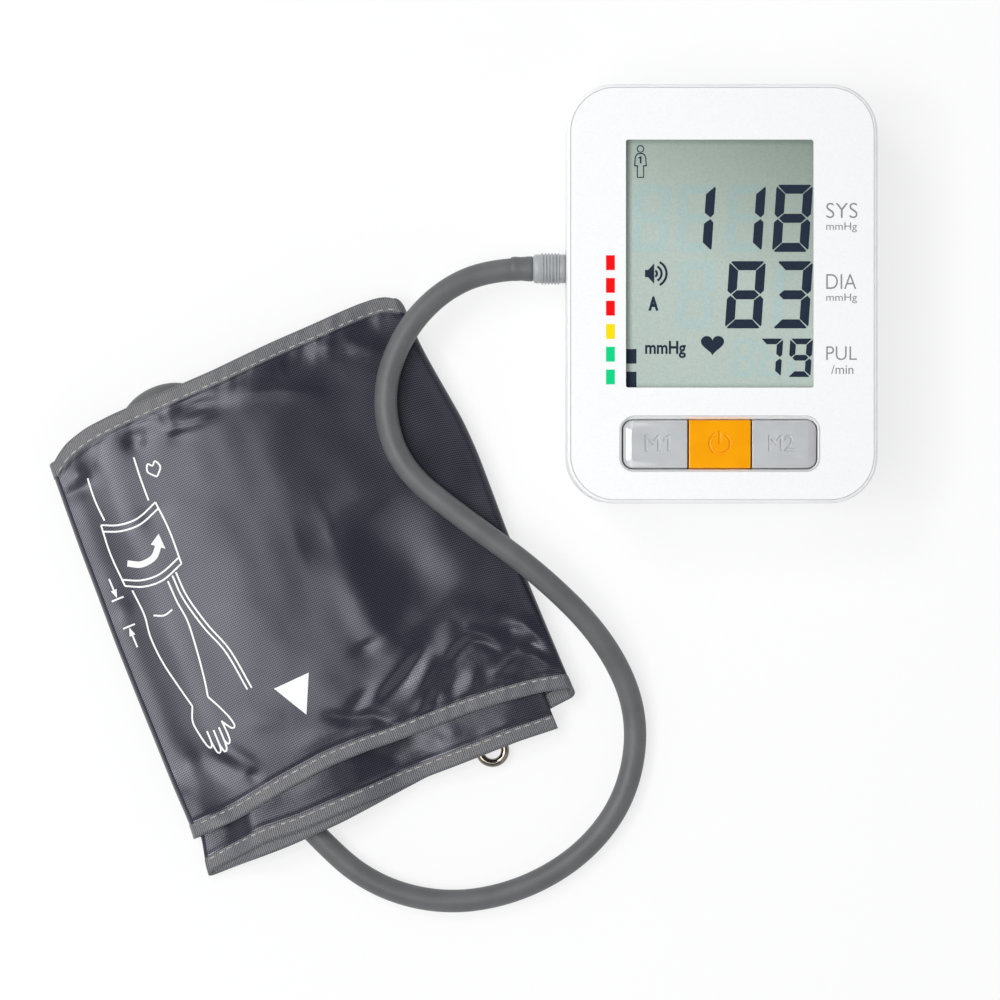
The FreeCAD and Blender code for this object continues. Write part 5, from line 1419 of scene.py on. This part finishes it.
def woven_nylon():
    """Nylon oxford, whose doubled yarns repeat every 0.66 mm along the strip and 0.77 mm across it: dark
    slate, with the silky sheen of flat yarns. Their crowns shine and the gaps between them don't, and
    the gaps are painted darker than the crowns: painted shade."""
    material = new_material("woven_nylon_oxford")
    place = add_node(material, "TexCoord").outputs["Object"]
    warp, weft = cloth_wave(material, "X", 0.66), cloth_wave(material, "Y", 0.77)
    weave = add_node(material, "Math", {0: warp, 1: weft}, operation="ADD")
    crowns = add_node(material, "MapRange",
                      {"Value": weave.outputs[0], "From Min": -2.0, "From Max": 2.0}).outputs["Result"]
    shine = add_node(material, "MapRange", {"Value": crowns, "To Min": 0.08, "To Max": 1.02})
    drift = add_node(material, "TexNoise", {"Vector": place, "Scale": 35.0, "Detail": 2.0})
    # Painted shade: the colour darkens from the yarns' crowns into the gaps between them.
    return finish_surface(material, crowns, ("14151F", "2B2C3A"), (0.26, 0.38),
                          {"Specular IOR Level": shine.outputs["Result"],
                           "Specular Tint": linear("F6F5FF"), "IOR": 1.6},
                          (crowns, 1.0, 0.00001), gloss_pattern=drift.outputs["Fac"])


def knitted_lining():
    """Brushed polyester tricot: mid grey and matt, with fine rows of loops along it, 0.5 mm apart."""
    material = new_material("knitted_tricot_lining")
    place = add_node(material, "TexCoord").outputs["Object"]
    rows = cloth_wave(material, "Y", 0.5)
    fuzz = add_node(material, "TexNoise", {"Vector": place, "Scale": 1800.0, "Detail": 3.0}).outputs["Fac"]
    height = add_node(material, "Math", {0: rows, 1: fuzz}, operation="ADD")
    return finish_surface(material, fuzz, ("4A4B50", "626368"), 0.85,
                          {"Sheen Weight": 0.3, "Sheen Roughness": 0.5, "IOR": 1.5},
                          (height.outputs[0], 0.5, 0.00006))


strip_offsets = whole_offsets()
outer_face, skin_face, station_turns = strip_faces(strip_offsets)
strip_uvs = cloth_uvs(outer_face * MM, strip_offsets)
outer_laid = lay_out(outer_face, station_turns)
skin_laid = lay_out(skin_face, station_turns)
rows, columns = outer_laid.shape[:2]
outer_quads = grid_faces(rows, columns)
skin_quads = grid_faces(rows, columns, rows * columns)[:, ::-1]
cuff = cloth_piece("cuff_cloth", np.concatenate([outer_laid, skin_laid]),
                   np.concatenate([outer_quads, skin_quads]), np.concatenate([strip_uvs, strip_uvs]),
                   np.repeat([0, 1], len(outer_quads)))
oxford = woven_nylon()
dress(cuff, oxford, knitted_lining())
fit(cuff, "cuff_cloth", "air_line", "nylon", "cuff_fabric", "cuff_lining")


# ---- air bag, hooks and loops ----
# The flat PVC bag between the cloths of turns 1 and 3, the hook tape sewn to the free end's skin
# side, and the looped pile on the outer face that it grips.

BAG_X = (-60.0, 60.0)
BAG_INSETS = (11.0, 11.0)
BAG_SHARES = (0.35, 0.62)
HOOK_X = (16.0, 60.5)
HOOK_INSETS = (4.0, 4.0)
HOOK_SHARES = (0.9, 1.14)
LOOP_X = (6.0, 60.0)
LOOP_INSETS = (8.0, 16.0)
LOOP_SHARES = (-0.18, 0.06)
SHEET_STEP = 2.5


def sheet_between(turn, ends, insets, shares):
    """A flat piece in or on a turn, between two shares of the way from its outer face to its skin face."""
    x = np.linspace(*ends, int((ends[1] - ends[0]) / SHEET_STEP) + 1)
    offset = np.linspace(insets[0], STRIP_WIDTH - insets[1],
                         int((STRIP_WIDTH - sum(insets)) / SHEET_STEP) + 1)
    outer, skin = turn_faces(turn, x, offset)
    turns = np.full(len(x), turn)
    faces = [lay_out(outer + share * (skin - outer), turns) for share in shares]
    count_x, count_y = outer.shape[:2]
    quads = grid_faces(count_x, count_y)
    rim = np.concatenate([np.arange(count_y), np.arange(1, count_x) * count_y + count_y - 1,
                          (count_x - 1) * count_y + np.arange(count_y - 2, -1, -1),
                          np.arange(count_x - 2, 0, -1) * count_y])
    beside = np.roll(rim, -1)
    total = count_x * count_y
    walls = np.stack([rim, beside, beside + total, rim + total], -1)
    uvs = np.stack(np.broadcast_arrays(x[:, None] * MM, offset[None, :] * MM), -1)
    return cloth_piece("sheet", np.concatenate(faces),
                       np.concatenate([quads, quads[:, ::-1] + total, walls]), np.concatenate([uvs, uvs]))


def hook_tape():
    """Moulded nylon hooks: dark and glossy, in rows 1.5 mm apart, drawn as round bumps. Their tops are
    painted lighter and the ground between them darker: painted light and shade.
    """
    material = new_material("moulded_nylon_hooks")
    place = add_node(material, "UVMap", uv_map="cloth").outputs["UV"]
    hooks = add_node(material, "TexVoronoi", {"Vector": place, "Scale": 670.0, "Randomness": 0.15})
    bump = add_node(material, "Bump", {"Height": hooks.outputs["Distance"], "Strength": 0.8,
                                       "Distance": 0.0004}, invert=True)
    # Painted light and shade: lighter where each hook rises, darker between the hooks.
    return finish_surface(material, hooks.outputs["Distance"], ("5A5B60", "2B2C30"), 0.4,
                          {"Normal": bump.outputs["Normal"], "IOR": 1.53})


def loop_pile():
    """Brushed nylon pile: dark grey and matt, in tufts of 0.7 mm, with a rim of light on its fibres."""
    material = new_material("brushed_nylon_pile")
    place = add_node(material, "UVMap", uv_map="cloth").outputs["UV"]
    tufts = add_node(material, "TexNoise", {"Vector": place, "Scale": 1400.0, "Detail": 4.0}).outputs["Fac"]
    return finish_surface(material, tufts, ("33343A", "4C4D54"), 0.95,
                          {"Sheen Weight": 0.6, "Sheen Roughness": 0.4, "IOR": 1.5}, (tufts, 0.7, 0.0003))


bag = joined([sheet_between(turn, BAG_X, BAG_INSETS, BAG_SHARES) for turn in (1, 3)])
dress(bag, dull_moulding("calendered_pvc_bag", ("3A3B40", "45464B"), (0.4, 0.55)))
fit(bag, "air_bag", "air_line", "bag", "bladder")
hooks = sheet_between(2, HOOK_X, HOOK_INSETS, HOOK_SHARES)
dress(hooks, hook_tape())
fit(hooks, "hook_tape", "air_line", "hook", "hook_patch")
pile = sheet_between(3, LOOP_X, LOOP_INSETS, LOOP_SHARES)
dress(pile, loop_pile())
fit(pile, "loop_pile", "air_line", "nylon", "loop_patch")


# ---- binding ----
# A ribbed polyester tape folded over both hems, all along the strip, and sewn through with a pale
# thread: one line of 2.7 mm stitches along each, near its inner edge.

TAPE_OFFSETS = np.array([5.1, 5.0, 4.2, 3.0, 1.9, 1.1, 0.6, 0.25, 0.08, 0.0])
TAPE_THICK = 0.2
STITCH_LONG = 2.7
STITCH_PITCH = 3.75
STITCH_THICK = 0.36
STITCH_UNEVEN = 0.55
STITCH_ROW = 4.2
STITCH_FLAT = 0.8
STITCH_START = 1.2
STITCH_SIDE = 0.6
STITCH_NOISE = 170.0
STITCH_SEED = 2.0
# How deep the tape's inner side lies in the cloth, so that no gap shows.
TAPE_SINK = 0.06


def hem_tape(offsets):
    """One hem's tape: over the outer face, round the hem, back over the skin face, and closed inside."""
    outer, skin, turns = strip_faces(offsets, TAPE_THICK)
    under_outer, under_skin, _ = strip_faces(offsets, -TAPE_SINK)
    loop = np.concatenate([outer, skin[:, -2::-1], under_skin, under_outer[:, -2::-1]], axis=1)
    laid = lay_out(loop, turns)
    rows, columns = laid.shape[:2]
    uvs = cloth_uvs(outer * MM, lengths_along(laid[rows // 2]) / MM)
    return cloth_piece("hem_tape", laid, grid_faces(rows, columns, closed=True), uvs)


def ribbed_tape():
    """Woven polyester grosgrain: mid grey with ribs across it, 0.72 mm apart, and a low silky sheen. The
    ribs' tops are painted lighter and the grooves between them darker: painted light and shade.
    """
    material = new_material("woven_grosgrain_tape")
    ribs = add_node(material, "MapRange", {"Value": cloth_wave(material, "X", 0.72), "From Min": -1.0,
                                           "From Max": 1.0}).outputs["Result"]
    # Painted light and shade: the colour follows the ribs, light on their tops and dark between them.
    return finish_surface(material, ribs, ("3C3E45", "7B7D83"), 0.36,
                          {"Specular Tint": linear("FFF6EE"), "IOR": 1.55}, (ribs, 0.8, 0.00007))


def stitch_rows():
    """Stitches along both hems, one small rounded bar each, laid along the tape and a little into it."""
    deselect()
    bpy.ops.mesh.primitive_uv_sphere_add(segments=6, ring_count=5, radius=0.5, rotation=(0, math.pi / 2, 0))
    bar_piece = bpy.context.object
    bpy.ops.object.transform_apply(location=False, rotation=True, scale=False)
    shape = np.array([vertex.co[:] for vertex in bar_piece.data.vertices])
    shape = shape * (STITCH_LONG * MM, STITCH_THICK * MM, STITCH_FLAT * STITCH_THICK * MM)
    sides = [list(face.vertices) for face in bar_piece.data.polygons]
    bpy.data.objects.remove(bar_piece)
    vertices, faces = [], []
    front_row = np.array([STITCH_ROW, STITCH_ROW + STITCH_SIDE])
    for offsets in (front_row, STRIP_WIDTH - front_row):
        outer, _, turns = strip_faces(offsets, TAPE_THICK)
        laid = lay_out(outer, turns)[turns != 4]
        line, beside = laid[:, 0], laid[:, 1]
        along = lengths_along(line)
        for start in np.arange(STITCH_START * MM, along[-1] - STITCH_LONG * MM, STITCH_PITCH * MM):
            pull = 1 + STITCH_UNEVEN * noise.noise(Vector((start * STITCH_NOISE, STITCH_ROW, STITCH_SEED)))
            long = pull * STITCH_LONG * MM
            first, last, side = [np.array([np.interp(start + share * long, along, track[:, axis])
                                           for axis in range(3)])
                                 for share, track in ((0.0, line), (1.0, line), (0.5, beside))]
            middle = (first + last) / 2
            forward = (last - first) / np.linalg.norm(last - first)
            inward = side - middle
            inward -= forward * inward.dot(forward)
            inward /= np.linalg.norm(inward)
            basis = np.stack([forward, inward, np.cross(forward, inward)])
            faces += [[n + len(vertices) for n in side_face] for side_face in sides]
            vertices += (middle + shape * (pull, 1 / pull, 1) @ basis).tolist()
    piece = new_piece("hem_stitches", vertices, faces)
    clean_faces(piece)
    bpy.ops.object.shade_smooth()
    return piece


def sewing_thread():
    """Spun polyester thread: off-white, matt, with the painted light and shade of its 0.6 mm twist."""
    material = new_material("spun_polyester_thread")
    place = add_node(material, "TexCoord").outputs["Object"]
    twist = add_node(material, "TexNoise", {"Vector": place, "Scale": 1600.0})
    return finish_surface(material, twist.outputs["Fac"], ("9C9B98", "DAD9D4"), 0.7, {"IOR": 1.5})


tape = joined([hem_tape(TAPE_OFFSETS), hem_tape(STRIP_WIDTH - TAPE_OFFSETS)])
dress(tape, ribbed_tape())
fit(tape, "hem_tapes", "air_line", "binding", "cuff_binding")
stitches = stitch_rows()
dress(stitches, sewing_thread())
fit(stitches, "hem_stitches", "air_line", "binding")


# ---- print on the cuff ----
# A white drawing that shows how the cuff goes on an arm, and a triangle that marks the artery:
# screen print that lies on the cloth and follows it.

PRINT_LIFT = 0.07
DROP_FROM = 60.0
LINE_WIDE = 0.62
ARM_LINES = [
    [(-58.0, 60.0), (-58.6, 52.0), (-58.2, 44.0)],
    [(-40.0, 60.5), (-40.6, 53.0), (-41.0, 44.5)],
    [(-60.0, 43.0), (-54.0, 40.6), (-47.0, 40.2), (-39.0, 43.0)],
    [(-60.2, 40.6), (-54.0, 38.3), (-47.0, 37.9), (-38.9, 40.6)],
    [(-60.4, 20.0), (-54.0, 17.2), (-47.0, 16.8), (-38.8, 19.6)],
    [(-60.5, 22.4), (-54.0, 19.6), (-47.0, 19.2), (-38.7, 22.0)],
    [(-60.0, 43.0), (-60.9, 32.0), (-60.4, 20.0)],
    [(-39.0, 43.0), (-38.3, 32.0), (-38.8, 19.6)],
    [(-43.4, 17.0), (-43.0, 8.0), (-40.2, -4.0), (-36.4, -15.0), (-34.4, -30.0)],
    [(-41.8, 17.6), (-41.4, 8.2), (-38.6, -3.6), (-34.8, -14.8), (-32.8, -30.0)],
    [(-58.6, 17.6), (-58.0, 8.0), (-59.0, 0.0), (-58.4, -10.0), (-56.2, -21.0), (-54.6, -28.0)],
    [(-45.6, 15.8), (-45.4, 8.0), (-44.6, 0.0), (-45.6, -11.0), (-47.0, -21.0), (-48.2, -27.0)],
    [(-55.0, 6.6), (-51.4, 5.2), (-48.0, 6.0)],
    [(-54.6, -28.0), (-56.6, -33.0), (-56.2, -38.0), (-55.2, -42.6), (-54.2, -44.0), (-53.3, -42.4),
     (-53.2, -38.0)],
    [(-53.3, -41.6), (-52.7, -46.2), (-51.6, -46.6), (-51.0, -44.8), (-50.9, -38.6)],
    [(-51.0, -43.6), (-50.2, -47.0), (-49.2, -46.6), (-48.8, -44.4), (-48.8, -38.4)],
    [(-48.9, -42.8), (-48.0, -45.0), (-47.0, -44.2), (-46.8, -41.6), (-47.0, -36.6)],
    [(-47.0, -37.0), (-44.6, -40.4), (-43.4, -39.8), (-44.2, -36.0), (-46.2, -31.2), (-48.2, -27.0)],
    [(-67.0, 16.8), (-62.4, 16.8)],
    [(-67.0, 6.4), (-62.4, 6.4)],
    [(-64.8, 24.5), (-64.8, 19.5)],
    [(-64.8, -1.5), (-64.8, 3.6)],
    [(-35.0, 51.0), (-37.4, 53.8), (-36.4, 56.4), (-35.0, 55.2), (-33.6, 56.4), (-32.6, 53.8),
     (-35.0, 51.0)],
]
WRAP_LINE = [(-56.5, 27.0), (-52.0, 24.8), (-47.0, 25.4), (-43.8, 28.6)]
WRAP_WIDE = 2.2
SOLID_MARKS = [
    [(-64.8, 17.2), (-65.9, 20.2), (-63.7, 20.2)],
    [(-64.8, 6.0), (-65.9, 3.0), (-63.7, 3.0)],
    [(-42.2, 32.4), (-46.2, 29.9), (-42.0, 26.6)],
    [(-25.7, -33.3), (-12.3, -32.8), (-18.7, -46.1)],
]


def smooth_line(points, spacing=0.6):
    """A line that swings smoothly through its points, with a point every spacing mm or so."""
    points = np.array(points, dtype=float)
    padded = np.concatenate([[2 * points[0] - points[1]], points, [2 * points[-1] - points[-2]]])
    out = [points[0]]
    for before, start, end, after in zip(padded, padded[1:], padded[2:], padded[3:]):
        count = max(2, int(np.linalg.norm(end - start) / spacing))
        for share in np.arange(1, count + 1) / count:
            out.append(0.5 * (2 * start + (end - before) * share
                              + (2 * before - 5 * start + 4 * end - after) * share ** 2
                              + (3 * start - before - 3 * end + after) * share ** 3))
    return np.array(out)


def two_edges(line, wide):
    """Both edges of a band that is wide mm across, along a line."""
    run = np.gradient(line, axis=0)
    run /= np.linalg.norm(run, axis=1)[:, None]
    side = np.stack([-run[:, 1], run[:, 0]], -1) * wide / 2
    return line - side, line + side


def ribbon(points, wide):
    """Vertices and quads of a flat ribbon along a line."""
    edges = two_edges(smooth_line(points), wide)
    return np.stack(edges, 1).reshape(-1, 2), [[2 * n, 2 * n + 2, 2 * n + 3, 2 * n + 1]
                                               for n in range(len(edges[0]) - 1)]


def solid_mark(corners, count=14):
    """Vertices and triangles of a filled three-cornered mark."""
    first, second, third = np.array(corners, dtype=float)
    index, vertices, faces = {}, [], []
    for row in range(count + 1):
        for column in range(count + 1 - row):
            index[row, column] = len(vertices)
            vertices.append(first + (second - first) * row / count + (third - first) * column / count)
    for row in range(count):
        for column in range(count - row):
            faces.append([index[row, column], index[row + 1, column], index[row, column + 1]])
            if column < count - row - 1:
                faces.append([index[row + 1, column], index[row + 1, column + 1], index[row, column + 1]])
    return np.array(vertices), faces


def lay_print(name, shapes):
    """Lays flat shapes, in mm about the cuff's middle, on the cloth below them."""
    tree = BVHTree.FromPolygons([vertex.co for vertex in cuff.data.vertices],
                                [face.vertices for face in cuff.data.polygons])
    vertices, faces = [], []
    for outline, sides in shapes:
        faces += [[n + len(vertices) for n in side] for side in sides]
        for place in turn_cuff(outline[:, 0], outline[:, 1], np.full(len(outline), DROP_FROM)):
            ground = tree.ray_cast(Vector(place), Vector((0, 0, -1)))[0]
            vertices.append((place[0], place[1], ground.z + PRINT_LIFT * MM))
    piece = new_piece(name, vertices, faces)
    for polygon in piece.data.polygons:
        if polygon.normal.z < 0:
            polygon.flip()
    pick(piece)
    bpy.ops.object.shade_smooth()
    return piece


def print_white():
    """Flexible white ink on cloth: matt, and grained, 0.4 mm fine, where it sinks between the yarns."""
    material = new_material("screen_ink_white_on_cloth")
    place = add_node(material, "TexCoord").outputs["Object"]
    weave = add_node(material, "TexNoise", {"Vector": place, "Scale": 2600.0, "Detail": 2.0})
    return finish_surface(material, weave.outputs["Fac"], ("E8E9EA", "FDFDFC"), 0.6, {"IOR": 1.45},
                          ends=(0.25, 0.55))


drawing = [ribbon(line, LINE_WIDE) for line in ARM_LINES]
drawing += [ribbon(WRAP_LINE, WRAP_WIDE)]
drawing += [solid_mark(corners) for corners in SOLID_MARKS]
cuff_print = lay_print("cuff_print", drawing)
dress(cuff_print, print_white())
fit(cuff_print, "cuff_print", "air_line", "nylon")


# ---- air port ----
# The block under turn 3, near the back hem, that the hose is pushed into. It is moulded in grey PVC
# and welded to the air bag.

dress_node("cuff_port", dull_moulding("moulded_pvc_port", ("5C5E61", "696B6E"), (0.45, 0.55)))


# ---- metal ring and its loop ----
# The end of turn 4 is folded back round the bar of a long chromed ring and sewn down; the free end
# is pulled through the ring when the cuff is worn.

LOOP_THICK = 0.8
LOOP_FRONT = -70.5
LOOP_BACK = 43.5
LOOP_LINE = [
    (26.8, 0.62), (28.6, 0.62), (30.2, 0.78), (31.8, 0.94), (33.2, 1.52), (33.76, 2.9), (33.2, 4.3),
    (31.8, 4.88), (30.5, 4.42), (29.6, 3.4), (28.4, 2.5), (26.2, 2.12), (23.0, 1.98),
]
LOOP_STATIONS = 60
LOOP_WAVE = 0.5
LOOP_WAVE_LONG = 14.0
LOOP_SEED = 41.0
# The band's edges wave where it lies flat: x where the wave is whole, and where it has gone.
WAVE_WHOLE = 23.0
WAVE_GONE = 28.0


def ring_loop():
    """A band of cloth round the ring's bar, drawn out along it, with slightly wavy edges."""
    inner, outer = two_edges(smooth_line(LOOP_LINE, 0.5), LOOP_THICK)
    section = np.concatenate([outer, inner[::-1]])
    places = np.linspace(LOOP_FRONT, LOOP_BACK, LOOP_STATIONS)
    wave = np.array([noise.noise(Vector((place / LOOP_WAVE_LONG, 0.0, LOOP_SEED))) for place in places])
    shift = np.clip((WAVE_GONE - section[:, 0]) / (WAVE_GONE - WAVE_WHOLE), 0, 1)
    x = section[None, :, 0] + LOOP_WAVE * wave[:, None] * shift[None, :]
    z = np.broadcast_to(section[None, :, 1], x.shape)
    y = np.broadcast_to(places[:, None], x.shape)
    rows, columns = x.shape
    quads = grid_faces(rows, columns, closed=True)
    pair = np.arange(columns // 2 - 1)
    cap = np.stack([pair, pair + 1, columns - 2 - pair, columns - 1 - pair], -1)
    around = lengths_along(section * MM)
    uvs = np.stack(np.broadcast_arrays(around[None, :], places[:, None] * MM), -1)
    return cloth_piece("ring_loop_cloth", turn_cuff(x, y, z),
                       np.concatenate([quads, cap, cap[:, ::-1] + (rows - 1) * columns]), uvs)


def chromed_steel():
    """Chrome on steel wire: a mirror with a faint polishing haze in 1.4 mm patches, coloured darker and
    warmer than bright chrome as a painted reflection of the dark cuff round it.
    """
    material = new_material("chromed_steel_ring")
    place = add_node(material, "TexCoord").outputs["Object"]
    haze = add_node(material, "TexNoise", {"Vector": place, "Scale": 700.0, "Detail": 3.0})
    gloss = add_node(material, "MapRange", {"Value": haze.outputs["Fac"], "To Min": 0.06, "To Max": 0.16})
    # Painted reflection: the dark warm base colour stands in for the dark cuff that the chrome mirrors.
    return finish_material(material, add_node(material, "BsdfPrincipled", {
        "Base Color": linear("8E877D"), "Metallic": 1.0, "Roughness": gloss.outputs["Result"]}))


loop_cloth = ring_loop()
dress(loop_cloth, oxford)
fit(loop_cloth, "ring_loop_cloth", "air_line", "nylon", "ring_loop")
dress_node("d_ring", chromed_steel())


# ---- table, lamps and room ----
# A plain white table, paler to the camera and in reflections, that keeps the shadows. A softbox above
# the left side gives most of the light, two smaller lamps, behind and beside it, give the cuff its
# bright streaks, and a weak one opposite fills the shadows. The room is pale.

TABLE_SIZE = 6.0
TABLE_PALE = 0.735
WALL_LIGHT = 0.9
CEILING_LIGHT = 0.05


def table_white():
    """White melamine: the lit surface mixed with plain white where the camera or a reflection sees it."""
    material = new_material("white_melamine_table")
    path = add_node(material, "LightPath")
    seen = path.outputs["Is Camera Ray"]
    for ray in ("Is Glossy Ray", "Is Transmission Ray"):
        seen = add_node(material, "Math", {0: seen, 1: path.outputs[ray]}, operation="MAXIMUM").outputs[0]
    share = add_node(material, "Math", {0: seen, 1: TABLE_PALE}, operation="MULTIPLY")
    lit = add_node(material, "BsdfDiffuse", {"Color": linear("FAFAFA")})
    pale = add_node(material, "Emission", {"Color": linear("FFFFFF"), "Strength": 1.0})
    return finish_material(material, add_node(material, "MixShader", {
        0: share.outputs["Value"], 1: lit.outputs[0], 2: pale.outputs[0]}))


deselect()
bpy.ops.mesh.primitive_plane_add(size=TABLE_SIZE, location=(0, 0, -0.0002))
table = bpy.context.object
apply_place(table)
table.name = "table"
dress(table, table_white())


def soft_lamp(name, place, size, power, shape="DISK", roll=0.0):
    """An area lamp that faces the middle of the table; size is its width in metres, roll in degrees."""
    lamp = bpy.data.lights.new(name, "AREA")
    lamp.shape = shape
    lamp.size = size
    lamp.energy = power
    lamp_object = bpy.data.objects.new(name, lamp)
    lamp_object.location = place
    facing = (-Vector(place)).to_track_quat("-Z", "Y")
    lamp_object.rotation_euler = (facing @ Quaternion((0, 0, 1), math.radians(roll))).to_euler()
    scene.collection.objects.link(lamp_object)


def pale_room():
    """Pale walls under a darker ceiling, so that flat gloss mirrors the lamps and little else."""
    room = bpy.data.worlds.new("pale_room")
    room.use_nodes = True
    height = add_node(room, "SeparateXYZ", {"Vector": add_node(room, "TexCoord").outputs["Generated"]})
    strength = add_node(room, "MapRange", {"Value": height.outputs["Z"], "To Min": WALL_LIGHT,
                                           "To Max": CEILING_LIGHT})
    background = room.node_tree.nodes["Background"]
    background.inputs["Color"].default_value = linear("F4F6F8")
    room.node_tree.links.new(strength.outputs["Result"], background.inputs["Strength"])
    return room


soft_lamp("softbox", (-0.54, -0.17, 1.5), 1.0, 12.8, "SQUARE", 12.0)
soft_lamp("back_lamp", (-0.75, 0.75, 1.5), 0.6, 8.0)
soft_lamp("side_lamp", (-0.98, 0.03, 1.5), 0.30, 3.0)
soft_lamp("fill_lamp", (1.0, -0.8, 1.4), 1.0, 2.0)
scene.world = pale_room()
